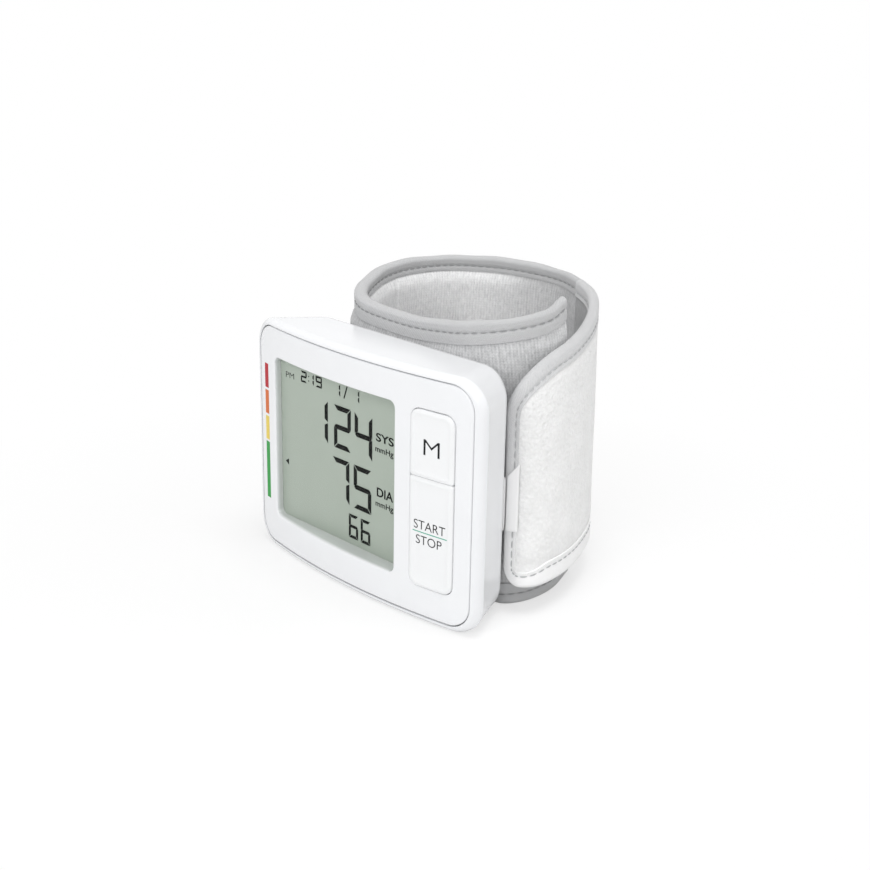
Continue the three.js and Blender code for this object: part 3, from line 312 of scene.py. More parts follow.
wall_share = np.linspace(0, 2, 2001)
wall_rings = outer_wall(wall_share)
door_front, door_rear = np.interp(DOORWAY_Y, side_depth(wall_rings), wall_share)
hall_share = np.linspace(1, 0, 1001)
hall_rear, hall_front = np.interp(DOORWAY_Y[::-1], side_depth(inner_wall(hall_share)), hall_share)
swing = np.linspace(0, np.pi / 2, 8)[:, None]
rim = RIM_INSIDE + (RIM_OUTSIDE - RIM_INSIDE) * np.where(np.arange(6) == 4, 1 - np.cos(swing), np.sin(swing))
outside = np.concatenate([np.linspace(0, door_front, 4)[1:], np.linspace(door_front, door_rear, DOOR_RUN)[1:],
                          np.linspace(door_rear, 2, 8)[1:]])
inside = np.concatenate([np.linspace(0, hall_rear, 2), np.linspace(hall_rear, hall_front, DOOR_RUN)[1:],
                         np.linspace(hall_front, 1, 3)[1:]])
rings = np.concatenate([
    [RIM_INSIDE + PANEL_LEDGE], rim, outer_wall(outside),
    [[*COVER_HOLE, BACK_Y, 0], [*COVER_HOLE, LEDGE_Y, 0], [*CUFF_HOLE, LEDGE_Y, 0], [*CUFF_HOLE, HALL_Y, 0]],
    inner_wall(inside),
])
half, low, high, radius, depth, bow = rings.T[..., None]
loops = corner_loops(-half[:, 0], low[:, 0], half[:, 0], high[:, 0], radius, (36, 6, 36, len(SIDE_HEIGHTS)))
loops[:, -len(SIDE_HEIGHTS):, 1] = SIDE_HEIGHTS
tub = set_at(loops, depth + bow * loops[..., 0] ** 2 * BOW)
rows, columns = tub.shape[:2]
first = columns - len(SIDE_HEIGHTS)
outer_first, inner_first = 1 + len(rim) + 2, rows - len(inside) + 1
kept = np.ones((rows, columns), bool)
for start in (outer_first, inner_first):
    kept[start:start + DOOR_RUN - 1, first:first + DOOR_COLUMNS - 1] = False
faces = [woven_faces(rows, columns, closed_rows=True).reshape(rows, columns, 4)[kept]]
index = np.arange(rows * columns).reshape(rows, columns)[:, first:first + DOOR_COLUMNS]
outer_door = index[outer_first:outer_first + DOOR_RUN]
inner_door = index[inner_first:inner_first + DOOR_RUN][::-1]
for border in (np.s_[0], np.s_[-1], np.s_[:, 0], np.s_[:, -1]):
    out_line, in_line = outer_door[border], inner_door[border]
    faces.append(np.stack([out_line[:-1], out_line[1:], in_line[1:], in_line[:-1]], -1))
housing_white = gloss_plastic("gloss_white", srgb(229, 230, 232), 0.24, 0.06)
housing = make("housing_shell", tub, np.concatenate(faces), "monitor", housing_white, "white_gloss")
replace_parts(soften(housing, 0.12), "main_housing")

# Battery door: a piece of the left wall in the same plastic, with a knuckle along its rear edge that
# turns on a steel pin held in the housing.
DOOR_HEIGHTS = (11.75, 33.45)
DOOR_INSIDE = ((-7.918, HALL_Y), (38.8, 33.9))
PIN = np.array([-35.978, 4.862])
KNUCKLE = 1.15
skin_y = np.linspace(-4.488, 4.3, 12)
skin = np.column_stack([-np.interp(skin_y, side_depth(wall_rings), wall_rings[:, 0]), skin_y])
bend = np.radians(np.linspace(205, 0, 18))
back = np.column_stack([-np.interp(skin_y, *DOOR_INSIDE), skin_y])[::-1]
plan = np.concatenate([skin, PIN + KNUCKLE * np.column_stack([np.cos(bend), np.sin(bend)]), back])
count = len(plan)
leaf = np.stack([np.column_stack([plan, np.full(count, z)]) for z in DOOR_HEIGHTS])
door = make("battery_door_leaf", leaf, None, "battery_door", housing_white, "white_gloss",
            ends=(range(count), range(count, 2 * count)))
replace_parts(soften(door, 0.2), "battery_door")

# Face plate: a bowed panel of the same plastic, snapped into the housing's front with a fine seam round it.
# It has a window over the display and one tall opening for both keys; the edges are a little rounded.
PANEL_LEFT, PANEL_LOW, PANEL_RIGHT, PANEL_HIGH = -40.0, 1.8, 40.0, 61.6
PANEL_CORNER = 6.0
WINDOW, WINDOW_CORNER = (-32.1, 10.0, 16.9, 54.0), 1.8
KEY_BAY, KEY_BAY_CORNER = (22.0, 9.2, 35.2, 54.2), 2.8
HALVES_X = 19.45
PLATE, PLATE_EDGE = 1.6, 0.35
WINDOW_SKIRT, WINDOW_BACK_Y = 1.1, -7.338
PLATE_STEPS = (30, 24, 30, 24)
RIGHT, LEFT = 1, 3


def bowed(x, depth):
    """Depth of the bowed front at x, moved back."""
    return FRONT_Y + x**2 * BOW + depth


def plate_half(hole, hole_corner, x0, x1, corners, open_side, skirt):
    """One half of the plate: a band from the hole's wall over its rounded edge, across the front to the
    outline's rounded edge and back behind. The open side has no edge, because the other half goes on
    there."""
    turn = np.linspace(0, np.pi / 2, 5)
    rise, fall = PLATE_EDGE * (1 - np.sin(turn)), PLATE_EDGE * (1 - np.cos(turn))
    left, low, right, high = hole

    def hole_loop(out):
        radii = (hole_corner + out)[:, None]
        return corner_loops(left - out, low - out, right + out, high + out, radii, PLATE_STEPS)

    def edge_loop(inset):
        radii = np.maximum(np.array(corners) - inset[:, None], 0) * (np.array(corners) > 0)
        return corner_loops(x0 + inset * (open_side != LEFT), PANEL_LOW + inset,
                            x1 - inset * (open_side != RIGHT), PANEL_HIGH - inset, radii, PLATE_STEPS)

    inner, outer = hole_loop(np.array([0, *fall])), edge_loop(rise)
    front = inner[-1] + (outer[0] - inner[-1]) * np.linspace(0, 1, 9)[1:-1, None, None]
    loops = np.concatenate([inner, front, outer, outer[-1:], hole_loop(np.array([skirt, skirt])), inner[:1]])
    depths = np.concatenate([[PLATE], rise, 0 * front[:, 0, 0], fall, np.full(4, PLATE)])
    y = bowed(loops[..., 0], depths[:, None])
    if skirt:
        y[-2:] = WINDOW_BACK_Y
    y[0] = y[-1]
    rows, columns = y.shape
    edge = len(inner) + len(front)
    start = (open_side + 1) * (BEND_STEPS + 1) + sum(PLATE_STEPS[:open_side]) - 1
    kept = np.ones((rows - 1, columns), bool)
    kept[edge:edge + len(outer), start:start + PLATE_STEPS[open_side] + 1] = False
    return set_at(loops, y), woven_faces(rows, columns).reshape(rows - 1, columns, 4)[kept]


def joined(*shapes):
    """One shape of several, each given by its points and its faces."""
    points = [np.reshape(part, (-1, 3)) for part, _ in shapes]
    starts = np.cumsum([0, *map(len, points)])
    faces = [corners + start for (_, corners), start in zip(shapes, starts)]
    return np.concatenate(points), np.concatenate(faces)


# The window's recess walls take the darker tone srgb(200, 204, 202): painted shade and a painted reflection
# of the display.
plate_white = gloss_plastic("panel_white", srgb(230, 231, 233), 0.24, 0.06, srgb(200, 204, 202))
window_half = plate_half(WINDOW, WINDOW_CORNER, PANEL_LEFT, HALVES_X, (PANEL_CORNER, 0, 0, PANEL_CORNER),
                         RIGHT, WINDOW_SKIRT)
key_half = plate_half(KEY_BAY, KEY_BAY_CORNER, HALVES_X, PANEL_RIGHT, (0, PANEL_CORNER, PANEL_CORNER, 0),
                      LEFT, 0)
plate = make("front_panel", *joined(window_half, key_half), "monitor", plate_white, "white_gloss", sharp=50)
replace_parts(plate, "face_plate")

# Printed scale: four coloured bars on the panel's left margin, red to green, that grade the reading.
# They are printed on the plastic in one thin film of ink each.
BAR_X = (-37.6, -35.7)
INK, INK_OFF = 0.03, 0.004


def ink(name, tone, rough=0.45):
    """Printed ink: a thin even film with a slight mottle."""
    paint = finish(name, {"Specular IOR Level": 0.05})
    grain = paint.noise(paint.spot(), 1800, 3)
    colour = paint.mix(grain, tinted(tone, 0.9), tinted(tone, 1.12))
    return paint.cover(colour, grain * 0.15 + (rough - 0.07), grain, 0.1, 0.01)


def closed_faces(rows, columns):
    """Quads of a row of flat sections: their sides, with the first and the last closed between their two
    halves."""
    k = np.arange(columns // 2 - 1)
    lid = np.stack([k, k + 1, columns - 2 - k, columns - 1 - k], -1)
    return np.concatenate([woven_faces(rows, columns), lid[:, ::-1], lid + (rows - 1) * columns])


def film(left, low, right, high, surface, columns=8):
    """A thin patch on a surface: a ring along its foot and back along its head, just off the surface and
    once more ahead by the ink's thickness."""
    x = np.linspace(left, right, columns + 1)
    ring = np.column_stack([np.concatenate([x, x[::-1]]), np.repeat([low, high], len(x))])
    patch = set_at(ring, surface(ring[:, 0]) - np.array([[INK_OFF], [INK_OFF + INK]]))
    return patch, closed_faces(2, len(ring))


def panel_face(x):
    """Depth of the panel's bowed front."""
    return bowed(x, 0)


for label, tone, foot, head in (
    ("red", srgb(178, 62, 68), 44.5, 51.1), ("orange", srgb(208, 116, 74), 37.3, 43.8),
    ("yellow", srgb(222, 199, 104), 30.0, 36.6), ("green", srgb(70, 154, 84), 13.4, 29.4),
):
    bar = film(BAR_X[0], foot, BAR_X[1], head, panel_face)
    make(f"scale_bar_{label}", *bar, "monitor", ink(f"ink_{label}", tone), "white_gloss")

# Keys: two satin white caps that share one opening. Each has a raised rim of about a millimetre round its
# top, a flange behind the panel that keeps it in, and a stem over its switch dome.
KEY_GAP, SPLIT_GAP = 0.17, 0.05
KEY_SPLIT_Z = 37.4
KEY_PROUD, KEY_FACE = 0.4, 0.28
KEY_CORNER, SPLIT_CORNER, LEAST_CORNER = 2.55, 0.7, 0.25
KEY_PROFILE = np.array([
    (-0.8, 2.65), (-0.8, 1.85), (0, 1.85), (0, 0.1), (0.05, -0.05), (0.2, -0.16), (0.5, -0.3),
    (0.85, -KEY_PROUD), (1.1, -KEY_PROUD), (1.25, -0.32), (1.4, -KEY_FACE),
])
KEY_UNDER, KEY_TOP = (0.0, 0.5), (0.8, 0.6, 0.4, 0.2, 0.0)
STEM_X, STEM_RADIUS, STEM_ROUND = 28.6, 1.5, 0.2
STEM_FRONT_Y, STEM_BACK_Y = -8.2, -5.75
key_white = gloss_plastic("satin_white", srgb(231, 232, 233), 0.32, 0.1)


def key_cap(foot, head, low_corner, high_corner):
    """A cap: rounded rectangles drawn in and raised along a profile, closed by rings that shrink to a
    point at the top and behind; only the sides away from the other key carry the flange."""
    inset, rise = np.pad(KEY_PROFILE, ((len(KEY_UNDER), len(KEY_TOP)), (0, 0)), mode="edge").T
    shrink = np.array([*KEY_UNDER, *np.ones(len(KEY_PROFILE)), *KEY_TOP])[:, None, None]
    out, draw = np.maximum(-inset, 0), np.maximum(inset, 0)
    left, right = KEY_BAY[0] + KEY_GAP + draw - out, KEY_BAY[2] - KEY_GAP - draw + out
    low = foot + draw - out * (low_corner > 1)
    high = head - draw + out * (high_corner > 1)
    corners = np.array([high_corner, high_corner, low_corner, low_corner])
    radii = np.maximum(corners - draw[:, None] * 0.8, LEAST_CORNER) + out[:, None] * (corners > 1)
    loops = corner_loops(left, low, right, high, radii, (10, 12, 10, 12))
    middle = np.stack([left + right, low + high], -1)[:, None] / 2
    loops = middle + (loops - middle) * shrink
    return set_at(loops, bowed(loops[..., 0], rise[:, None]))


def turned(radii, depths, middle, count):
    """A turned form along Y: circles of given radii at given depths, round a middle in X and Z."""
    angle = np.linspace(0, 2 * np.pi, count, endpoint=False)
    circle = np.stack([np.cos(angle), np.sin(angle)], -1)
    return set_at(middle + np.array(radii)[:, None, None] * circle, np.array(depths)[:, None])


for label, foot, head, low_corner, high_corner in (
    ("memory", KEY_SPLIT_Z + SPLIT_GAP / 2, KEY_BAY[3] - KEY_GAP, SPLIT_CORNER, KEY_CORNER),
    ("start", KEY_BAY[1] + KEY_GAP, KEY_SPLIT_Z - SPLIT_GAP / 2, KEY_CORNER, SPLIT_CORNER),
):
    cap = key_cap(foot, head, low_corner, high_corner)
    stem_z = (KEY_SPLIT_Z + (KEY_BAY[3] if label == "memory" else KEY_BAY[1])) / 2
    stem = turned((0, STEM_RADIUS, STEM_RADIUS, STEM_RADIUS - STEM_ROUND, 0),
                  (STEM_FRONT_Y, STEM_FRONT_Y, STEM_BACK_Y - STEM_ROUND, STEM_BACK_Y, STEM_BACK_Y),
                  (STEM_X, stem_z), 24)
    shape = joined(*((part, woven_faces(*part.shape[:2])) for part in (cap, stem)))
    key = make(f"{label}_key_cap", *shape, f"{label}_key", key_white, "white_key", sharp=28)
    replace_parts(key, f"{label}_key")

# Key marks: plain function words printed on the caps in dark grey, with a thin green rule between two of
# them. The ink is as thin as on the panel.
dark_ink = ink("ink_dark_grey", srgb(36, 37, 39))
teal_ink = ink("ink_teal", srgb(96, 168, 146))


def lettering(name, words, left, right, low, high, surface, body, paint, slot, weight=-0.008):
    """Flat letters stretched to a box in X and Z; each outline point lies on the surface, and the face of
    the ink stands ahead of it by the ink's thickness. weight swells or thins the strokes."""
    curve = bpy.data.curves.new(name, "FONT")
    curve.body = words
    curve.extrude = 0.01
    curve.offset = weight
    curve.resolution_u = 6
    sketch = stand(name + "_sketch", curve)
    bpy.context.view_layer.update()
    mesh = bpy.data.meshes.new_from_object(sketch.evaluated_get(bpy.context.evaluated_depsgraph_get()))
    bpy.data.objects.remove(sketch)
    flat = np.zeros(len(mesh.vertices) * 3)
    mesh.vertices.foreach_get("co", flat)
    flat = flat.reshape(-1, 3)
    plan = (flat - flat.min(0))[:, :2] / np.ptp(flat, axis=0)[:2] * (right - left, high - low) + (left, low)
    points = set_at(plan, surface(plan[:, 0]) - INK_OFF - INK * (flat[:, 2] > 0))
    mesh.vertices.foreach_set("co", (points * MM).ravel())
    mesh.update()
    return settle(name, mesh, body, paint)


def key_top(x):
    """Depth of the key caps' tops, inside their raised rims."""
    return bowed(x, -KEY_FACE)


lettering("memory_mark", "M", 26.4, 31.1, 43.25, 47.1, key_top, "memory_key", dark_ink, "white_key", -0.012)
lettering("start_word", "START", 23.8, 33.15, 24.35, 26.6, key_top, "start_key", dark_ink, "white_key")
lettering("stop_word", "STOP", 24.5, 32.2, 20.55, 22.8, key_top, "start_key", dark_ink, "white_key")
make("key_rule", *film(23.3, 23.52, 33.7, 23.75, key_top, 12), "start_key", teal_ink, "white_key")

# Display: a grey-green liquid crystal glass at the bottom of the window, under a clear cover. The
# segments that are on show black; the glass and the cover keep their own flat solids.
LCD_FACE_Y, SEGMENT_OFF = -7.288, 0.006
BOLD, MEDIUM, FINE = 1.3, 0.82, 0.5
SLIT = 0.12
LIT = {"1": "bc", "2": "abged", "4": "fgbc", "5": "afgcd", "6": "afgcde", "7": "abc", "9": "abcdfg", "-": "g"}
MARKS = (
    ("1", -15.0, 34.7, -12.8, 46.1, BOLD), ("2", -10.35, 34.6, -3.75, 46.0, BOLD),
    ("4", -2.25, 34.5, 4.45, 46.0, BOLD), ("7", -11.0, 20.3, -4.35, 32.0, BOLD),
    ("5", -2.65, 20.3, 4.15, 32.0, BOLD), ("6", -4.6, 11.7, -0.95, 18.2, MEDIUM),
    ("6", 0.1, 11.7, 3.8, 18.2, MEDIUM), ("2", -23.7, 48.8, -21.3, 51.8, FINE),
    ("1", -19.9, 48.8, -18.4, 51.8, FINE), ("9", -17.6, 48.8, -15.1, 51.8, FINE),
    ("1", -9.0, 48.4, -7.85, 51.7, FINE), ("1", -1.6, 48.4, -0.5, 51.7, FINE),
    ("-", -20.75, 49.4, -20.15, 49.9, FINE), ("-", -20.75, 50.6, -20.15, 51.1, FINE),
)
SLASH = np.array([[(-6.6, 48.4), (-6.15, 48.4), (-5.55, 50.05), (-4.95, 51.7), (-5.4, 51.7), (-6.0, 50.05)]])
POINTER = np.array([[(-30.7, 25.3), (-29.35, 26.15), (-29.35, 24.45)]])
black = ink("segment_black", srgb(6, 9, 7), 0.5)


def dress(paint, *names):
    """Gives CAD nodes a finish."""
    for name in names:
        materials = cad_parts[name].data.materials
        materials.clear()
        materials.append(paint)


def glass_face(x):
    """Depth of the display glass, which is flat."""
    return LCD_FACE_Y + 0 * x


def segment_corners(digit, left, low, right, high, stroke):
    """Corners of a digit's lit segments, six each: bars whose ends are cut on a slant, with a slit
    between them. One end bar, one side bar and the middle bar are drawn; the others are their mirror
    images."""
    slit, half = SLIT * stroke, stroke / 2
    x, z = (left + right) / 2, (low + high) / 2
    inner, under = left + stroke, high - stroke
    tip_left, tip_right = inner + slit - half, right - stroke - slit + half
    top = np.array([(left + slit, high), (x, high), (right - slit, high), (right - slit - stroke, under),
                    (x, under), (inner + slit, under)])
    side = np.array([(left, high - slit), (inner, under - slit), (inner, z + half + stroke),
                     (inner, z + slit + half), (left, z + slit), (left, z + stroke)])
    bar = np.array([(left + slit, z), (tip_left, z + half), (tip_right, z + half), (right - slit, z),
                    (tip_right, z - half), (tip_left, z - half)])
    across, over = np.array([2 * x, 0]), np.array([0, 2 * z])
    flip_x, flip_z = np.array([-1, 1]), np.array([1, -1])
    shapes = {"a": top, "b": side * flip_x + across, "c": across + over - side, "d": top * flip_z + over,
              "e": side * flip_z + over, "f": side, "g": bar}
    return np.stack([shapes[name] for name in LIT[digit]])


def prisms(name, rings):
    """Thin prisms on the display's face, one for each ring of corners."""
    ahead = np.array([SEGMENT_OFF, SEGMENT_OFF + INK])[:, None]
    corners = rings.shape[1]
    number = np.arange(len(rings))[:, None, None] * 2 * corners
    walls = (woven_faces(2, corners) + number).reshape(-1, 4)
    lids = (np.arange(2 * corners).reshape(2, corners) + number).reshape(-1, corners)
    solid = set_at(rings[:, None], LCD_FACE_Y - ahead)
    make(name, solid, walls, "monitor", black, "display", ends=lids.tolist())


display = finish("display_glass", {"Specular IOR Level": 0.35, "Coat Weight": 0.15, "Coat Roughness": 0.2})
place = display.spot()
grain = display.noise(place, 2200, 2)
cloud = display.noise(place, 60, 2)
# The tint also darkens towards the right and the bottom of the glass: a painted shade across the display.
tint = grain * 0.35 + cloud * 0.45 + display.axis(place, "X") * -2.0 + display.axis(place, "Z") * 2.0
display.feed("Base Color", display.mix(tint, srgb(152, 162, 151), srgb(170, 180, 169)))
display.feed("Roughness", grain * 0.15 + 0.3)
dress(display.owner, "lcd_glass")
clear = finish("clear_cover", {"Base Color": (1, 1, 1, 1), "Alpha": 0.006, "Specular IOR Level": 0.1})
clear.feed("Roughness", clear.noise(clear.spot(), 70, 4) * 0.08 + 0.03)
dress(clear.owner, "display_lens")
prisms("display_segments", np.concatenate([*(segment_corners(*mark) for mark in MARKS), SLASH]))
prisms("display_pointer", POINTER)
for label, words, *box, weight in (
    ("systolic", "SYS", 5.85, 12.4, 40.5, 42.7, 0.02),
    ("systolic_unit", "mmHg", 5.6, 12.3, 37.3, 39.3, 0.014),
    ("diastolic", "DIA", 6.25, 12.3, 26.1, 28.5, 0.02),
    ("diastolic_unit", "mmHg", 5.8, 12.4, 23.0, 25.0, 0.014),
    ("afternoon", "PM", -30.0, -26.6, 48.65, 50.15, -0.012),
):
    lettering(f"display_{label}", words, *box, glass_face, "monitor", black, "display", weight)

# Inside: a green board with its parts, a foam-mounted pump, a valve, an air line and two cells in a tray.
# These keep their solids; a block of open foam holds the pump off the rear cover.
TRACE_X, TRACE_Z = 2.6, 3.4
CELL_MIDDLE, CELL_BAND, CELL_END = 12.1, 17.5, 21.2
FOAM_CORNER = 1.0
FOAM_INSET = np.array([1.0, 1.0, 0.35, 0.1, 0.0, 0.0, 0.1, 0.35, 1.0, 1.0])
FOAM_DEPTH = np.array([0.02, 0.01, 0.0, 0.12, 0.3, 0.7, 0.88, 1.0, 0.99, 0.98])


def plain_finish(name, tone, rough, metal=0.0, grain_size=0.4, relief=0.2):
    """A moulded or cast surface: even colour with a fine grain that shows in the gloss and the bump."""
    paint = finish(name, {"Metallic": metal})
    grain = paint.noise(paint.spot(), 1 / (grain_size * MM), 4)
    colour = paint.mix(grain, tinted(tone, 0.88), tinted(tone, 1.1))
    return paint.cover(colour, grain * 0.2 + (rough - 0.1), grain, relief, 0.04)


def numbered(name, count):
    """Names of like nodes, counted from 1."""
    return [f"{name}_{k + 1}" for k in range(count)]


matte_white = plain_finish("matte_white", srgb(228, 229, 229), 0.55, relief=0.15)
steel = plain_finish("plain_steel", srgb(178, 181, 185), 0.35, 1.0, 0.25, 0.1)
brass = plain_finish("turned_brass", srgb(198, 160, 84), 0.32, 1.0, 0.3, 0.1)
dark_rubber = plain_finish("dark_rubber", srgb(44, 46, 49), 0.75, grain_size=0.3)
pale_rubber = plain_finish("pale_rubber", srgb(214, 214, 207), 0.6, grain_size=0.5)
dress(matte_white, "lcd_frame", "pressure_sensor", "battery_tray", "rear_cover", "cuff_stiffener")
dress(steel, "battery_door_pin", "plus_contact", "minus_contact", "door_contact", "pump_motor", "valve_body",
      *numbered("board_screw", 3), *numbered("rear_screw", 4), *numbered("cuff_screw", 4))
dress(brass, "pump_crank", "valve_plunger")
dress(dark_rubber, "zebra_strip", "buzzer", "pump_head")
dress(pale_rubber, "air_manifold", "cuff_nipple")

board = finish("board_mask", {"Coat Weight": 0.3, "Coat Roughness": 0.2})
place = board.spot()
line_x = abs(board.axis(place, "X") / (TRACE_X * MM) % 1 - 0.5)
line_z = abs(board.axis(place, "Z") / (TRACE_Z * MM) % 1 - 0.5)
trace = (line_x.maths("LESS_THAN", 0.09) + line_z.maths("LESS_THAN", 0.07)).maths("MINIMUM", 1)
mask = board.mix(trace, srgb(26, 92, 56), srgb(58, 130, 84))
dress(board.cover(mask, trace * -0.1 + 0.45, trace, 0.3, 0.03), "main_board")

jacket = finish("cell_jacket", {"Coat Weight": 0.4, "Coat Roughness": 0.1})
place = jacket.spot()
off_middle = abs(jacket.axis(place, "X") / MM + CELL_MIDDLE)
metal_ends = off_middle.maths("GREATER_THAN", CELL_END)
wrap = jacket.mix(off_middle.maths("GREATER_THAN", CELL_BAND), srgb(58, 108, 140), srgb(186, 190, 192))
jacket.feed("Base Color", jacket.mix(metal_ends, wrap, srgb(190, 190, 188)))
jacket.feed("Metallic", metal_ends)
jacket.feed("Roughness", jacket.noise(place, 400, 4) * 0.2 + 0.22)
dress(jacket.owner, *numbered("battery_cell", 2))

foam = plain_finish("open_foam", srgb(62, 64, 67), 0.9, grain_size=0.7, relief=0.9)
least, most = np.array(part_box("pump_pad")) / MM
loops = corner_loops(least[0] + FOAM_INSET, least[2] + FOAM_INSET, most[0] - FOAM_INSET, most[2] - FOAM_INSET,
                     FOAM_CORNER, (8, 4, 8, 4))
loops[[0, -1]] = (least + most)[[0, 2]] / 2
block = set_at(loops, (least[1] + (most[1] - least[1]) * FOAM_DEPTH)[:, None])
pad = make("pump_foam", block, None, "monitor", foam, "dark_rubber", sharp=60)
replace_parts(pad, "pump_pad")

# Switch domes: a button of pale rubber on the board under each key's stem, moulded in one piece. A press
# squeezes it flat on its foot.
DOME_RADII = (0, 3.4, 3.4, 3.1, 2.7, 2.2, 1.8, 1.4, 0)
DOME_RISE = np.array([0, 0, 0.08, 0.34, 0.55, 0.84, 1.02, 1.1, 1.1])
for label in ("memory", "start"):
    least, most = np.array(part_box(f"{label}_dome")) / MM
    foot = np.array([(least[0] + most[0]) / 2, most[1], (least[2] + most[2]) / 2])
    rings = turned(DOME_RADII, foot[1] - DOME_RISE, foot[[0, 2]], 32)
    dome = make(f"{label}_switch_dome", rings, None, "monitor", pale_rubber, "pale_rubber")
    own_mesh(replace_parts(dome, f"{label}_dome"))

# Outer cloth of the cuff: a grey knitted sleeve over the stiffener, drawn in under both edge tapes, so that
# it swells out from them. Its strip stands on a foot line and rises to a rim line, both drawn in plan: from
# the inner end on the right, along the housing's back, round the left and the back.
CUFF_Y, CUFF_TOP = 9.262, 66.9
TAPE_HEIGHT, TAPE_FOLD, TAPE_FULLNESS, TAPE_HALF = 5.5, 0.5, 0.7, 1.8
TUCK, CLEAR, TUCKED_THICK = 2.2, 0.05, 0.55
SLEEVE_THICK, SLEEVE_SWELL = 1.2, 4.0
SLEEVE_RIPPLE, SLEEVE_RIPPLE_RUN, SLEEVE_RIPPLE_LEAN, SLEEVE_RIPPLE_FROM = 0.1, 2.9, 1.7, (0.45, 0.55)
PAD_THIN, PAD_FULL = 2.4, 6.0
PAD_RISE, PAD_FALL = (23.5, 38.5), (8.0, 40.0)
STRIP = np.array([
    (32, 21.6, 8), (32.6, 16.6, 6.2), (31.6, 11.6, 5.2), (29, 7.4, 4.4), (24.5, 3.8, 3.4), (18.5, 1.5, 2.3),
    (12.5, 0.2, 1.3), (0, 0, 0), (-12, 0, 0), (-22, 0.9, 0.4), (-28, 3.5, 1), (-33, 7.9, 1.7),
    (-37.3, 14.3, 2.5), (-40.6, 21.2, 3.3), (-42.2, 29.7, 4), (-41.4, 39.2, 4.3), (-37.6, 47.9, 4.4),
    (-31, 54.2, 4.4), (-22, 58.6, 4.4), (-11, 60, 4.3), (0.3, 58.3, 4.1), (9.2, 54.6, 3.8),
])
STRIP_FOOT = np.array([(30.5, 29.1), (34.9, 18.6), (35.8, 11.6), (35, 6.1), (32.3, 1.8), (25, 0.2), (14, 0)])


class ClothLine:
    """A smooth line through points: between two of them a cubic whose end slopes weigh the chords beside
    it by the square roots of their lengths. It is read by shares of its length."""

    def __init__(self, plan, heights):
        points = np.column_stack([plan[:, 0], CUFF_Y + plan[:, 1], np.broadcast_to(heights, len(plan))])
        points = np.concatenate([2 * points[:1] - points[1:2], points, 2 * points[-1:] - points[-2:-1]])
        before, here, there, after = points[:-3], points[1:-2], points[2:-1], points[3:]
        t0, t1, t2 = (np.linalg.norm(b - a, axis=1)[:, None] ** 0.5
                      for a, b in ((before, here), (here, there), (there, after)))
        slope = ((here - before) / t0 - (there - before) / (t0 + t1) + (there - here) / t1) * t1
        slope_there = ((there - here) / t1 - (after - here) / (t1 + t2) + (after - there) / t2) * t1
        here, there, slope, slope_there = (a[:, None] for a in (here, there, slope, slope_there))
        u = np.linspace(0, 1, 80, endpoint=False)[None, :, None]
        curve = (here + slope * u + (3 * (there - here) - 2 * slope - slope_there) * u**2
                 + (2 * (here - there) + slope + slope_there) * u**3)
        self.points = np.concatenate([curve.reshape(-1, 3), points[-2:-1]])
        steps = np.linalg.norm(np.diff(self.points, axis=0), axis=1)
        self.run = np.concatenate([[0], np.cumsum(steps)])
        self.length = self.run[-1]

    def at(self, share):
        return np.stack([np.interp(share * self.length, self.run, self.points[:, k]) for k in range(3)], -1)


def on_cloth(lines, share, height, inward):
    """Points of the cloth: on the straight line between the foot and rim lines at a share of their
    lengths and at a height, moved inwards square to the cloth's way in plan."""
    share, height, inward = np.broadcast_arrays(share, height, inward)

    def at(s):
        low, high = lines[0].at(s), lines[1].at(s)
        return low + (high - low) * ((height - low[..., 2]) / (high[..., 2] - low[..., 2]))[..., None]

    here = at(share)
    way = at(np.minimum(share + 1e-3, 1)) - at(np.maximum(share - 1e-3, 0))
    way = way / np.hypot(way[..., 0], way[..., 1])[..., None]
    return np.stack([here[..., 0] + way[..., 1] * inward, here[..., 1] - way[..., 0] * inward, height], -1)


foot_plan = np.concatenate([STRIP_FOOT, STRIP[len(STRIP_FOOT):, :2]])
strip = (ClothLine(foot_plan, 0), ClothLine(STRIP, CUFF_TOP + STRIP[:, 2]))
strip_length = strip[1].length


def on_strip(run, height, inward):
    """Points of the strip at a distance along it and a height, moved inwards."""
    return on_cloth(strip, run / strip_length, height, inward)


def smooth(value, start, end):
    """An even rise from 0 to 1 between two values, flat at both."""
    t = np.clip((value - start) / (end - start), 0, 1)
    return t * t * (3 - 2 * t)


def eased(count):
    """Shares from 0 to 1 that lie closer at both ends: half of 1 less a cosine."""
    return 0.5 - 0.5 * np.cos(np.linspace(0, np.pi, count))


def swell(value):
    """A swelling from 0 to 1 that is steep at first: a parabola with its top at 1."""
    value = np.clip(value, 0, 1)
    return value * (2 - value)


def pad_depth(run):
    """Thickness of the cuff along the strip: thin at both ends, full where the bladder is."""
    return PAD_THIN + (PAD_FULL - PAD_THIN) * smooth(run, *PAD_RISE) * smooth(strip_length - run, *PAD_FALL)


def rim_height(run):
    """Height of the strip's rim, with the fullness of the folded tape."""
    return strip[1].at(run / strip_length)[..., 2] + TAPE_FULLNESS


def between_tapes(run, sweep, tape_height, reach):
    """Heights of a cloth that is tucked under both edge tapes, at shares of the way between them, and its
    fullness: none under the tapes, all of it a reach away from them."""
    rim_z = rim_height(run)
    height = TUCK + (rim_z - 2 * TUCK) * sweep
    return height, swell((np.minimum(height, rim_z - height) - tape_height) / reach)


def tape_faces(run):
    """Middle of the cuff's thickness, and how far the edge tape's two faces lie from it."""
    middle = pad_depth(run) / 2
    return middle, np.minimum(TAPE_HALF, middle)


def loft(name, section, run, across, body, paint, slot, sharp):
    """A piece from a row of flat sections, whose weave is the run and the distance across."""
    weave = np.stack(np.broadcast_arrays(run, across), -1)
    return make(name, section, closed_faces(*section.shape[:2]), body, paint, slot, sharp, weave)


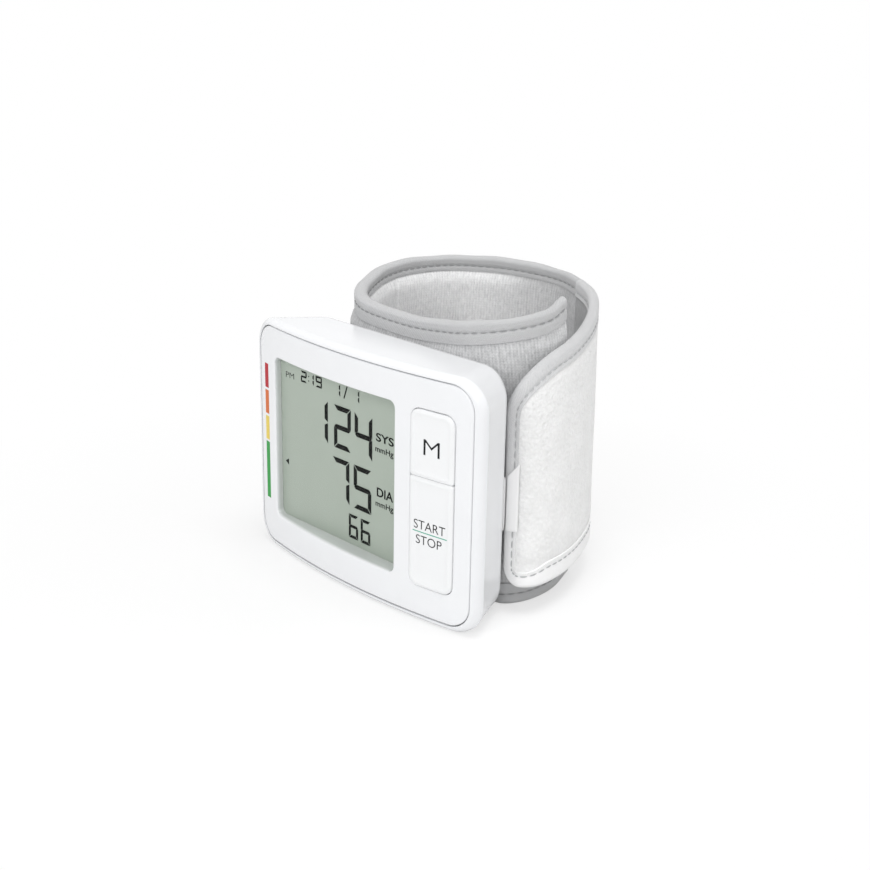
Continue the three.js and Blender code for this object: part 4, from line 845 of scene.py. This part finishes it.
def sheet_of(name, place, run, height, outer, inner, body, paint, slot):
    """A closed sheet on a grid of run and height: its two faces at their depths, joined round its edge."""
    run, height = np.broadcast_arrays(run, height)
    section = np.concatenate([place(run, height, outer), place(run, height, inner)[:, ::-1]], 1)
    run, height = (np.concatenate([values, values[:, ::-1]], 1) for values in (run, height))
    return loft(name, section, run, height, body, paint, slot, sharp=60)


def knit(name, pale, dark, wale, course, relief, painted_shade_runs=None):
    """Brushed knit: columns of slanting loops. The height is a wave across the columns plus a wave along
    them that leans to each side of a column, under streaks of brushed fibre; the colour darkens between
    the yarns. The last argument gives two runs in mm between which the cloth turns to a greyer tone, a
    painted shade that leaves the cloth before them paler, as if lit."""
    paint = finish(name, {"Sheen Weight": 0.3, "Sheen Roughness": 0.5, "Specular IOR Level": 0.15})
    cloth = paint.weave()
    along, up = (paint.axis(cloth, way) for way in "XY")
    lean = abs(along / wale % 1 - 0.5)
    column = (along * (2 * np.pi / wale)).maths("COSINE")
    row = ((up / course + lean) * (2 * np.pi)).maths("SINE")
    brushed = paint.node("VectorMath", {"operation": "MULTIPLY"}, {0: cloth, 1: (1.0, 0.45, 1.0)})
    fibre = paint.noise(brushed, 1.25, 5, 0.7)
    height = row * 0.05 - column * 0.07 + fibre * 1.2 - 0.1
    tint = height * 1.3 + paint.noise(cloth, 0.12, 3) * 0.4 - 0.35
    tone = paint.mix(tint, dark, pale)
    # Painted shade: past the given runs the cloth turns to a greyer tone.
    if painted_shade_runs:
        grey = paint.mix(tint, srgb(154, 155, 156), srgb(212, 212, 213))
        tone = paint.mix(paint.ramp(along, *painted_shade_runs), tone, grey)
    return paint.cover(tone, fibre * 0.1 + 0.85, height, relief, 0.4)


# Painted shade: from 6 mm to 46 mm along the strip the sleeve turns greyer, which leaves its inner end paler,
# as if lit.
sleeve_knit = knit("sleeve_knit", srgb(244, 244, 245), srgb(170, 171, 172), 0.9, 0.7, 0.8, (6, 46))
sweep = eased(40)
run = np.linspace(0, strip_length, 420)[:, None]
height, puff = between_tapes(run, sweep, TAPE_HEIGHT, SLEEVE_SWELL)
middle, half = tape_faces(run)
ripple = SLEEVE_RIPPLE * np.sin(run / SLEEVE_RIPPLE_RUN + SLEEVE_RIPPLE_LEAN * sweep) * puff
ripple = ripple * smooth(run / strip_length, *SLEEVE_RIPPLE_FROM)
face = (middle - half + TAPE_FOLD + CLEAR) * (1 - puff) + ripple
back = face + TUCKED_THICK + (SLEEVE_THICK - TUCKED_THICK) * puff
sleeve = sheet_of("cuff_outer_cloth", on_strip, run, height, face, back, "monitor", sleeve_knit, "grey_knit")
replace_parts(sleeve, "cuff_sleeve")

# Bladder: two films of pale rubber welded round the edge, flat and empty. It lies between the stiffener
# and the lining, where the cuff has its full thickness.
BAG_MARGIN, BAG_END = 10.6, 0.5
BAG_DEPTH, BAG_FILM, BAG_FILL, BAG_CROWN = 4.05, 0.05, 0.55, 5.0


def crown(run, height, low, high, width):
    """Crown of a sheet: the square root of the distance from its nearest edge, up to 1 at a width
    inside."""
    edge = np.minimum(np.minimum(height - low, high - height), np.minimum(run - run.min(), run.max() - run))
    return np.sqrt(np.clip(edge / width, 0, 1))


run = np.linspace(PAD_RISE[1] + BAG_END, strip_length - PAD_FALL[1] - BAG_END, 160)[:, None]
head = rim_height(run) - BAG_MARGIN
height = BAG_MARGIN + (head - BAG_MARGIN) * eased(30)
half = BAG_FILM + BAG_FILL * crown(run, height, BAG_MARGIN, head, BAG_CROWN)
bladder = sheet_of("air_bladder_bag", on_strip, run, height, BAG_DEPTH - half, BAG_DEPTH + half, "monitor",
                   pale_rubber, "pale_rubber")
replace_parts(bladder, "air_bladder")

# Lining: soft grey knit on the wrist's side, held by the same edge tapes. One upright seam on the left
# joins its two lengths, as a ridge with a hollow beside it.
SEAM_AT, SEAM_REACH = 0.585, 2.5
RIDGE, RIDGE_WIDTH = 0.55, 0.55
HOLLOW, HOLLOW_WIDTH, HOLLOW_OFF = 0.22, 0.9, 1.6
LINING_THICK, LINING_SWELL, TAPE_HEIGHT_INSIDE = 0.9, 3.5, 4.1
LINING_RIPPLE, LINING_RIPPLE_RUN, LINING_RIPPLE_LEAN, LINING_RIPPLE_FROM = 0.12, 3.7, 2.3, (0.2, 0.3)
# Painted shade: from 140 mm to 172 mm along the strip the lining turns greyer, on the back wall towards the
# right.
lining_knit = knit("lining_knit", srgb(255, 255, 255), srgb(210, 210, 211), 1.0, 0.7, 0.8, (140, 172))
seam_run = SEAM_AT * strip_length
run = np.sort(np.concatenate([np.linspace(0, strip_length, 440),
                              seam_run + np.linspace(-SEAM_REACH, SEAM_REACH, 41)]))[:, None]
height, puff = between_tapes(run, sweep, TAPE_HEIGHT_INSIDE, LINING_SWELL)
middle, half = tape_faces(run)
held = middle + half - TAPE_FOLD - CLEAR
off_seam = run - seam_run
seam = (RIDGE * np.exp(-((off_seam / RIDGE_WIDTH) ** 2))
        - HOLLOW * np.exp(-(((off_seam - HOLLOW_OFF) / HOLLOW_WIDTH) ** 2)))
ripple = LINING_RIPPLE * np.sin(run / LINING_RIPPLE_RUN + LINING_RIPPLE_LEAN * sweep) * puff
ripple = ripple * smooth(run / strip_length, *LINING_RIPPLE_FROM)
back = held + (pad_depth(run) - held - seam) * puff - np.abs(ripple)
face = back - TUCKED_THICK - (LINING_THICK - TUCKED_THICK) * puff
lining = sheet_of("cuff_inner_cloth", on_strip, run, height, face, back, "monitor", lining_knit, "grey_knit")
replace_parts(lining, "cuff_lining")

# Edge tapes: grey woven tape folded over the cuff's rims and sewn through with one line of stitches,
# which pulls a groove into both faces.
STITCH_DROP, STITCH_FIRST, STITCH_LAST = 2.7, 1.6, 1.2
TAPE_TOP = 1.1
GROOVE = 0.26
STITCH_STEP, STITCH, THREAD, STITCH_SUNK, STITCH_ARCH = 2.5, 2.05, 0.34, 0.15, 0.1
CREASE, CREASE_RUN, CREASE_AT = 0.06, 1.3, 1.8
RIM_WAVES = ((0.12, 6.1), (0.08, 2.3))


def twill(name, pale, dark, pitch, relief, painted_light_heights=None):
    """Woven tape: fine slanting ribs with yarn along them. The last argument gives two heights in mm between
    which the tape turns from a paler tone at the foot, painted light, to its own."""
    paint = finish(name, {"Sheen Weight": 0.25, "Sheen Roughness": 0.5, "Specular IOR Level": 0.15})
    cloth = paint.weave()
    along, across = (paint.axis(cloth, way) for way in "XY")
    rib = ((along + across * 0.8) * (2 * np.pi / pitch)).maths("SINE")
    yarn = ((along * 0.6 - across) * (4 * np.pi / pitch)).maths("SINE")
    fibre = paint.noise(cloth, 2.2, 4)
    height = rib * 0.16 + yarn * 0.1 + fibre * 0.7 + 0.15
    tint = height * 0.8 + 0.1
    tone = paint.mix(tint, dark, pale)
    # Painted light: below the given heights the tape turns to a paler tone.
    if painted_light_heights:
        own = paint.ramp(paint.axis(paint.spot(), "Z") / MM, *painted_light_heights)
        tone = paint.mix(own, paint.mix(tint, srgb(234, 234, 234), srgb(252, 252, 252)), tone)
    return paint.cover(tone, fibre * 0.1 + 0.8, height, relief, 0.3)


def folded_tape(width, width_inside, top, fold, groove_at):
    """Section of a tape folded over an edge, along its face and back behind it: for each step, the side
    (-1 outside, 1 inside, between them over the edge), the distance from the edge, how far it is in from
    the tape's face, the depth of the groove that the stitches pull, and the length walked."""
    span = 0.25 * groove_at
    sewn = groove_at + span * np.linspace(0.6, -0.6, 7)
    near = np.concatenate([sewn, np.linspace(groove_at - span, top, 5)])
    outer, inner = (np.concatenate([np.linspace(wide, groove_at + span, 5), near])
                    for wide in (width, width_inside))
    over = np.linspace(0, np.pi, 15)[1:-1]
    side = np.concatenate([0 * outer - 1, -np.cos(over), 0 * inner + 1])
    arch = np.concatenate([0 * outer, np.sin(over), 0 * inner])
    distance = np.concatenate([outer, 0 * over + top, inner[::-1]]) - top * arch
    groove = GROOVE * np.exp(-(((distance - groove_at) / (span * 0.6)) ** 2)) * (np.abs(side) == 1)
    walk = np.concatenate([[0], np.cumsum(np.hypot(np.diff(distance), np.diff(side) * TAPE_HALF))])
    face = np.stack([side, distance, 0 * side, groove, walk])
    behind = np.stack([side, distance + fold * arch, 0 * side + fold, 0 * side, walk])
    return np.concatenate([face, behind[:, ::-1]], 1)


def stitches(name, centres, place, body, paint):
    """Thread beads on both faces of a tape: for each centre along a seam a small bar, round in section,
    that rises in the middle and dives at both ends. place turns run, distance across, lift and side into
    points."""
    side = np.array([-1, 1])[:, None, None, None]
    along = np.linspace(-1, 1, 7)[:, None]
    angle = np.linspace(0, 2 * np.pi, 6, endpoint=False)
    radius = THREAD / 2 * np.sqrt(np.clip(1 - along**2, 0.02, 1))
    lift = radius * np.cos(angle) - STITCH_ARCH * along**2
    run = centres[:, None, None] + along * STITCH / 2
    points = place(*np.broadcast_arrays(run, radius * np.sin(angle), lift, side))
    rows, columns = along.size, angle.size
    lid = np.array([[0, 1, 2, 3], [0, 3, 4, 5]])
    bead = np.concatenate([woven_faces(rows, columns), lid[:, ::-1], lid + (rows - 1) * columns])
    faces = bead + np.arange(2 * len(centres))[:, None, None] * rows * columns
    return make(name, points, faces.reshape(-1, 4), body, paint, "grey_tape", sharp=60)


tape_weave = twill("grey_tape", srgb(220, 220, 221), srgb(158, 159, 160), 0.6, 0.6)
thread = plain_finish("grey_thread", srgb(148, 149, 150), 0.8, grain_size=0.25, relief=0.5)
run = np.linspace(0, strip_length, 360)[:, None]
side, distance, inset, groove, walk = folded_tape(
    TAPE_HEIGHT, TAPE_HEIGHT_INSIDE, TAPE_TOP, TAPE_FOLD, STITCH_DROP)
middle, half = tape_faces(run)
crease = CREASE * np.sin(run / CREASE_RUN) * np.exp(-((distance - CREASE_AT) ** 2)) * (inset == 0)
tape_depth = middle + side * (half - inset - groove - np.abs(crease))
wave = sum(size * np.sin(run / length) for size, length in RIM_WAVES) * np.exp(-distance / 2)
for label, rim_of, way in (("top", rim_height, -1), ("bottom", np.zeros_like, 1)):
    section = on_strip(run, rim_of(run) + way * distance - wave * (way < 0), tape_depth)
    tape = loft(f"{label}_edge_tape", section, run, walk, "monitor", tape_weave, "grey_tape", sharp=50)
    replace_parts(tape, f"{label}_binding")

    def on_tape(run, across, lift, side):
        """Points on a face of the tape, along its line of stitches."""
        middle, half = tape_faces(run)
        depth = middle + side * (half + lift - STITCH_SUNK)
        return on_strip(run, rim_of(run) + way * (STITCH_DROP + across), depth)

    sewn_run = np.arange(STITCH_FIRST, strip_length - STITCH_LAST, STITCH_STEP)
    stitches(f"{label}_stitching", sewn_run, on_tape, "monitor", thread)

# Hook patch: a dark strip of stiff plastic hooks, where the flap holds. It is sewn on the outside of the
# strip's inner end.
HOOK_RUN, HOOK_LOW, HOOK_HIGH = (3.0, 17.0), 16.0, 48.0
HOOK_BACK, HOOK_EDGE, HOOK_PILE, HOOK_CROWN = 0.12, 0.22, 0.36, 0.8
hooks = finish("hook_tape", {"Specular IOR Level": 0.3})
cells = hooks.node("TexVoronoi", {}, {"Vector": hooks.spot(), "Scale": 1400}, "Distance")
pile = hooks.mix(cells, srgb(92, 94, 97), srgb(34, 35, 37))
hook_tape = hooks.cover(pile, cells * 0.3 + 0.5, 1 - cells, 0.9, 0.3)
run = np.linspace(*HOOK_RUN, 60)[:, None]
height = HOOK_LOW + (HOOK_HIGH - HOOK_LOW) * eased(40)
face = -HOOK_EDGE - HOOK_PILE * crown(run, height, HOOK_LOW, HOOK_HIGH, HOOK_CROWN)
patch = sheet_of("hook_strip", on_strip, run, height, face, -HOOK_BACK, "monitor", hook_tape, "dark_rubber")
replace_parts(patch, "hook_patch")

# Flap: the strip's free end, from its sewn line round the right side to the housing. Outside it is white
# brushed loop cloth, inside the grey knit in a darker tone that is painted shade; its upper corner falls in
# a long curve and its lower corner is small and round.
FLAP_FOOT = np.array([(17.4, 49.5), (24.6, 43.3), (31.3, 35.9), (36.1, 27.7), (39.6, 19.7), (41.5, 12.7),
                      (42, 6.7), (41.2, 3.1), (39.2, 0.8), (36.8, 0.1), (34, 0)])
FLAP_TOP = np.array([(17.2, 49.5), (23.8, 43.4), (29.3, 36.1), (33.2, 28.2), (35.4, 20.7), (36, 14.7),
                     (35.7, 9.7), (34.8, 6.3), (33.4, 3.9), (31.4, 1.9)])
FLAP_LOW, FLAP_RIM = 7.2, CUFF_TOP + STRIP[-1, 2]
FLAP_START, FLAP_INSET, FLAP_FRONT_INSET = 0.1, 0.9, 1.0
FLAP_CLIMB, FLAP_FALL, FALL_START, FULLNESS_END = 20, 8.0, 12.0, 25
CORNER_RUN, CORNER_DROP, LOW_CORNER = 18.6, 13.0, 5.0
TAPE_TOP_WIDTH, TAPE_EDGE_WIDTH, TAPE_FOOT_WIDTH = 4.4, 4.0, 5.8
FLAP_SWELL = 2.5
NAP, NAP_RUN, NAP_RISE = 0.05, 3.1, 4.7
FLAP_DEPTHS = ((0.32, -0.42), (1.05, 0.2), (1.15, 0.2), (2.08, 0.3))
sewn_at = STRIP[-1:, :2]
flap = (ClothLine(np.concatenate([sewn_at, FLAP_FOOT]), FLAP_LOW),
        ClothLine(np.concatenate([sewn_at, FLAP_TOP]), CUFF_TOP))
flap_length = flap[0].length


def corner_fall(run, length):
    """Fall of a rounded corner over the flap's last length: 1 less the height of a quarter circle."""
    reach = np.clip((run - flap_length + length) / length, 0, 1)
    return 1 - np.sqrt(1 - reach**2)


def flap_low(run):
    """Height of the flap's lower edge: it climbs from the floor, then rises round the small corner."""
    return FLAP_LOW * smooth(run, 0, FLAP_CLIMB) + LOW_CORNER * corner_fall(run, LOW_CORNER)


def flap_high(run):
    """Height of its upper edge: a gentle fall, then down a quarter of an ellipse."""
    fall = FLAP_FALL * smooth(run, FALL_START, flap_length) + CORNER_DROP * corner_fall(run, CORNER_RUN)
    return FLAP_RIM + TAPE_FULLNESS * (1 - smooth(run, 0, FULLNESS_END)) - fall


def on_flap(run, height, inward):
    """Points of the flap at a distance along it and a height, moved inwards."""
    return on_cloth(flap, np.clip(run / flap_length, 0, 1), height, inward)


def bending(piece):
    """Bakes the piece's placing into its mesh."""
    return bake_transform(piece)


loops = finish("white_loop", {"Sheen Weight": 0.5, "Sheen Roughness": 0.4, "Specular IOR Level": 0.1})
cloth = loops.weave()
tuft = loops.noise(cloth, 0.75, 6, 0.72)
curl = loops.node("TexVoronoi", {}, {"Vector": cloth, "Scale": 1.1}, "Distance")
tint = tuft * 0.8 + loops.noise(cloth, 0.16, 3) * 0.5 - curl * 0.15
brushed = loops.mix(tint, srgb(222, 222, 221), srgb(255, 255, 255))
loop_cloth = loops.cover(brushed, tuft * 0.1 + 0.85, tuft * 0.9 + curl * 0.4, 0.85, 0.6)
# Painted shade: the flap's inside is a darker copy of the grey knit.
flap_knit_painted_shade = knit("flap_knit_painted_shade", srgb(180, 180, 181), srgb(130, 131, 132), 1.0, 0.7, 0.7)

reach = np.sin(np.linspace(0, np.pi / 2, 150))[:, None]
run = FLAP_START + (flap_length - FLAP_FRONT_INSET - FLAP_START) * reach
low, high = flap_low(run), flap_high(run)
height = low + FLAP_INSET + (high - low - 2 * FLAP_INSET) * eased(90)
from_tape = np.minimum(high - height - TAPE_TOP_WIDTH, height - low - TAPE_FOOT_WIDTH)
puff = swell(np.minimum(from_tape, flap_length - run - TAPE_EDGE_WIDTH) / FLAP_SWELL)
nap_wave = NAP * np.sin(run / NAP_RUN + height / NAP_RISE) * puff
face, back, inner_face, inner_back = (hem + full * puff for hem, full in FLAP_DEPTHS)
panel = sheet_of("flap_outer_cloth", on_flap, run, height, face + nap_wave, back, None, loop_cloth,
                 "white_loop")
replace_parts(bending(panel), "flap_panel")
flap_inner = sheet_of("flap_inner_cloth", on_flap, run, height, inner_face, inner_back, None, flap_knit_painted_shade,
                      "grey_knit")
bending(flap_inner)

# Flap tape: the same tape folded over the flap's edge, wide along the curved top and narrow down the
# front; its tones are paler than the rims' tape, as painted light. Along the foot, where a still paler tone
# is painted as light, it is wider again.
FLAP_MIDDLE, FLAP_TAPE_HALF = 1.2, 1.35
HEM_SEWN, HEM_TOP, HEM_FOLD = 0.76, 0.26, 0.14
HEM_THICK, HEM_GROOVE, HEM_WEAVE = 3.4, 0.9, 3.6
HEM_FIRST, HEM_LAST = 2.0, 1.5
HEM_NARROWS, HEM_WIDENS = (-14, 2), 9
EDGE_STEP = 0.9
turn = np.linspace(0, np.pi / 2, 60)
top_run = np.linspace(FLAP_START, flap_length - CORNER_RUN, 50)[:-1]
bend_run = flap_length - CORNER_RUN + CORNER_RUN * np.sin(turn)
low_run = flap_length - LOW_CORNER + LOW_CORNER * np.cos(turn[::4])
foot_run = np.linspace(flap_length - LOW_CORNER, FLAP_START, 80)[1:]
front_z = np.linspace(flap_high(flap_length), FLAP_LOW + LOW_CORNER, 42)[1:-1]
path = np.concatenate([np.column_stack([along, up]) for along, up in (
    (top_run, flap_high(top_run)), (bend_run, flap_high(bend_run)),
    (np.full_like(front_z, flap_length), front_z), (low_run, flap_low(low_run)),
    (foot_run, flap_low(foot_run)),
)])
walked = np.concatenate([[0], np.cumsum(np.linalg.norm(np.diff(path, axis=0), axis=1))])
outline_length = walked[-1]
front_start, foot_start = walked[len(top_run) + len(turn) - 1], walked[-len(foot_run)]


def on_edge(walk, distance, inward):
    """Points in from the flap's outline: the outline's point at a distance walked along it, moved square
    to it."""
    walk, distance, inward = np.broadcast_arrays(walk, distance, inward)

    def at(w):
        return np.stack([np.interp(w, walked, path[:, 0]), np.interp(w, walked, path[:, 1])], -1)

    way = at(np.minimum(walk + EDGE_STEP, outline_length)) - at(np.maximum(walk - EDGE_STEP, 0))
    way = way / np.linalg.norm(way, axis=-1)[..., None]
    spot = at(walk) + distance[..., None] * np.stack([way[..., 1], -way[..., 0]], -1)
    return on_flap(np.clip(spot[..., 0], FLAP_START, flap_length), spot[..., 1], inward)


def hem_width(walk):
    """Width of the tape along the outline: it narrows to the front edge and widens past the lower
    corner."""
    front = (TAPE_EDGE_WIDTH - TAPE_TOP_WIDTH) * smooth(walk - front_start, *HEM_NARROWS)
    foot = (TAPE_FOOT_WIDTH - TAPE_EDGE_WIDTH) * smooth(walk - foot_start, 0, HEM_WIDENS)
    return TAPE_TOP_WIDTH + front + foot


def on_hem(walk, across, lift, side):
    """Points on a face of the tape, along its line of stitches."""
    depth = FLAP_MIDDLE + side * (FLAP_TAPE_HALF + lift - STITCH_SUNK)
    return on_edge(walk, hem_width(walk) * HEM_SEWN + across, depth)


# Painted light: the flap's tape is a paler copy of the grey tape, and paler still from 46 mm down to 18 mm.
flap_tape_painted_light = twill("flap_tape_painted_light", srgb(236, 236, 237), srgb(182, 183, 184), 0.6, 0.6, painted_light_heights=(18, 46))
pale_thread = plain_finish("pale_thread", srgb(178, 179, 180), 0.8, grain_size=0.25, relief=0.5)
steps = np.linspace(0, outline_length, 380)[:, None]
side, distance, inset, groove, walk = folded_tape(1.0, 1.0, HEM_TOP, HEM_FOLD, HEM_SEWN)
tape_depth = FLAP_MIDDLE + side * (FLAP_TAPE_HALF - inset * HEM_THICK - groove * HEM_GROOVE)
section = on_edge(steps, distance * hem_width(steps), tape_depth)
tape = loft("flap_edge_tape", section, steps, walk * HEM_WEAVE, None, flap_tape_painted_light, "grey_tape", sharp=50)
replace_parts(bending(tape), "flap_binding")
sewn_run = np.arange(HEM_FIRST, outline_length - HEM_LAST, STITCH_STEP)
bending(stitches("flap_stitching", sewn_run, on_hem, None, pale_thread))

# Pull tab: a smooth white strip sewn over the flap's front edge, cut on a slant at the top, with a thin
# bar along the very edge.
TAB_LOW, TAB_HIGH, TAB_SLANT = 21.4, 34.6, 3.8
TAB_REACH, TAB_BAR, TAB_SLOT = 4.5, 1.0, 0.45
TAB_LIFT, TAB_FALL, TAB_THICK, TAB_CROWN, TAB_EDGE = 0.75, 0.55, 0.08, 0.1, 0.5
BAR_IN, BAR_OUT, BAR_OVER = 0.06, 0.72, 0.1
BAR_HALF_WIDTH, BAR_HALF_DEPTH = 0.44, 0.36
BAR_LEVELS = np.array([0, 0, 0.04, 0.15, 0.5, 0.85, 0.96, 1, 1])[:, None]
BAR_ROUND = np.array([0, 0.55, 0.8, 1, 1, 1, 0.8, 0.55, 0])[:, None]
tab_vinyl = gloss_plastic("tab_vinyl", srgb(240, 240, 240), 0.4, 0.15)
inwards = np.linspace(TAB_BAR + TAB_SLOT, TAB_REACH, 26)[:, None]
reach = (inwards - TAB_BAR) / (TAB_REACH - TAB_BAR)
head = TAB_HIGH + TAB_SLANT * reach
height = TAB_LOW + (head - TAB_LOW) * np.linspace(0, 1, 40)
lift = TAB_LIFT - TAB_FALL * reach
face = -lift - TAB_CROWN * crown(inwards, height, TAB_LOW, head, TAB_EDGE)
tab = sheet_of("pull_tab_strip", on_flap, flap_length - inwards, height, face, TAB_THICK - lift, "cuff_flap",
               tab_vinyl, "white_matte")
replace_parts(tab, "pull_tab")
angle = np.linspace(0, 2 * np.pi, 20, endpoint=False)
bar = on_flap(flap_length - TAB_BAR / 2 - BAR_IN + BAR_HALF_WIDTH * BAR_ROUND * np.cos(angle),
              TAB_LOW - BAR_OVER + (TAB_HIGH - TAB_LOW + 2 * BAR_OVER) * BAR_LEVELS,
              BAR_HALF_DEPTH * BAR_ROUND * np.sin(angle) - BAR_OUT)
make("pull_tab_bar", bar, None, "cuff_flap", tab_vinyl, "white_matte", sharp=60)

# Seam band: a strip of the sleeve's knit laid over the line where the flap is sewn on. It is bonded on both
# sides of that line.
BAND_HALF, BAND_LOW, BAND_HIGH = 5.0, 7.5, FLAP_RIM - 8.0
BAND_BACK, BAND_EDGE, BAND_RISE, BAND_CROWN = 0.14, 0.2, 0.3, 0.6


def on_seam(run, height, inward):
    """Points across the sewn line: on the strip before it and on the flap after it."""
    before = on_strip(np.minimum(run, strip_length), height, inward)
    after = on_flap(np.maximum(run - strip_length, 0), height, inward)
    return np.where((run <= strip_length)[..., None], before, after)


run = strip_length + np.linspace(-BAND_HALF, BAND_HALF, 48)[:, None]
height = BAND_LOW + (BAND_HIGH - BAND_LOW) * eased(40)
face = -BAND_EDGE - BAND_RISE * crown(run, height, BAND_LOW, BAND_HIGH, BAND_CROWN)
band = sheet_of("flap_seam_band", on_seam, run, height, face, -BAND_BACK, None, sleeve_knit, "grey_knit")
bending(band)

# Studio: a plain pale floor, a white surround and three soft lamps. The floor is white to the camera but
# keeps the object's shadow; the camera stands where the photograph's did.
FLOOR_HALF, SHADOW_REACH = 20, (0.04, 0.16)
AZIMUTH, ELEVATION, ROLL = np.radians([46.52, 18.923, 1.072])
CAMERA_PLACE, CAMERA_LENS, CAMERA_SENSOR = (0.2495, -0.2185, 0.1527), 57.68, 36
floor_mesh = bpy.data.meshes.new("studio_floor")
floor_corners = [(FLOOR_HALF * x, FLOOR_HALF * y, 0) for x, y in ((-1, -1), (1, -1), (1, 1), (-1, 1))]
floor_mesh.from_pydata(floor_corners, [], [(0, 1, 2, 3)])
stand("studio_floor", floor_mesh)
ground = finish("studio_floor", {
    "Base Color": (0.86, 0.86, 0.86, 1), "Roughness": 0.9, "Specular IOR Level": 0.1})
seen = ground.node("LightPath", out="Is Camera Ray")
away = ground.node("VectorMath", {"operation": "LENGTH"}, {0: ground.spot()}, "Value")
glow = ground.node("Emission", {}, {"Color": (1, 1, 1, 1), "Strength": 1.0})
both = ground.node("MixShader", {}, {
    0: seen * ground.ramp(away, *SHADOW_REACH, 0.6), 1: Wire(ground, ground.shader.outputs[0]), 2: glow})
ground.tree.links.new(both.socket, ground.tree.nodes["Material Output"].inputs["Surface"])
floor_mesh.materials.append(ground.owner)

world = bpy.data.worlds.new("studio")
bpy.context.scene.world = world
sky = Shading(world, {"Color": (1, 1, 1, 1)})
camera_ray, glossy_ray, clear_ray = (
    sky.node("LightPath", out=f"Is {kind} Ray") for kind in ("Camera", "Glossy", "Transmission"))
sky.feed("Strength", (camera_ray + glossy_ray + clear_ray).maths("MINIMUM", 1) * 0.43 + 0.57)


def place_at(holder, place, *axes):
    """Sets a lamp or the camera at a place, turned so that its own X, Y and Z lie along three
    directions."""
    holder.matrix_world = Matrix.Translation(place) @ Matrix(np.column_stack(axes).tolist()).to_4x4()


for name, place, target, size, power in (
    ("key_lamp", (0.26, -0.76, 0.5), (0, 0.02, 0.035), 0.6, 3.6),
    ("right_lamp", (0.6, 0.66, 0.55), (0, 0.03, 0.035), 0.5, 0.95),
    ("top_lamp", (0.2, 0.0, 1.1), (0, 0.03, 0.035), 0.5, 5.0),
):
    light = bpy.data.lights.new(name, "AREA")
    light.size = size
    light.energy = power
    back = np.subtract(place, target)
    back /= np.linalg.norm(back)
    right = np.cross([0, 0, 1], back)
    right /= np.linalg.norm(right)
    place_at(stand(name, light), place, right, np.cross(back, right), back)

level_right = np.array([np.cos(AZIMUTH), np.sin(AZIMUTH), 0])
level_back = np.array([np.sin(AZIMUTH), -np.cos(AZIMUTH), 0])
back = level_back * np.cos(ELEVATION) + np.array([0, 0, np.sin(ELEVATION)])
level_up = np.cross(back, level_right)
lens = bpy.data.cameras.new("camera")
lens.sensor_width = CAMERA_SENSOR
lens.lens = CAMERA_LENS
lens.clip_start = 0.01
camera = stand("camera", lens)
place_at(camera, CAMERA_PLACE, np.cos(ROLL) * level_right + np.sin(ROLL) * level_up,
         np.cos(ROLL) * level_up - np.sin(ROLL) * level_right, back)
bpy.context.scene.camera = camera
bpy.context.scene.view_settings.view_transform = "Standard"
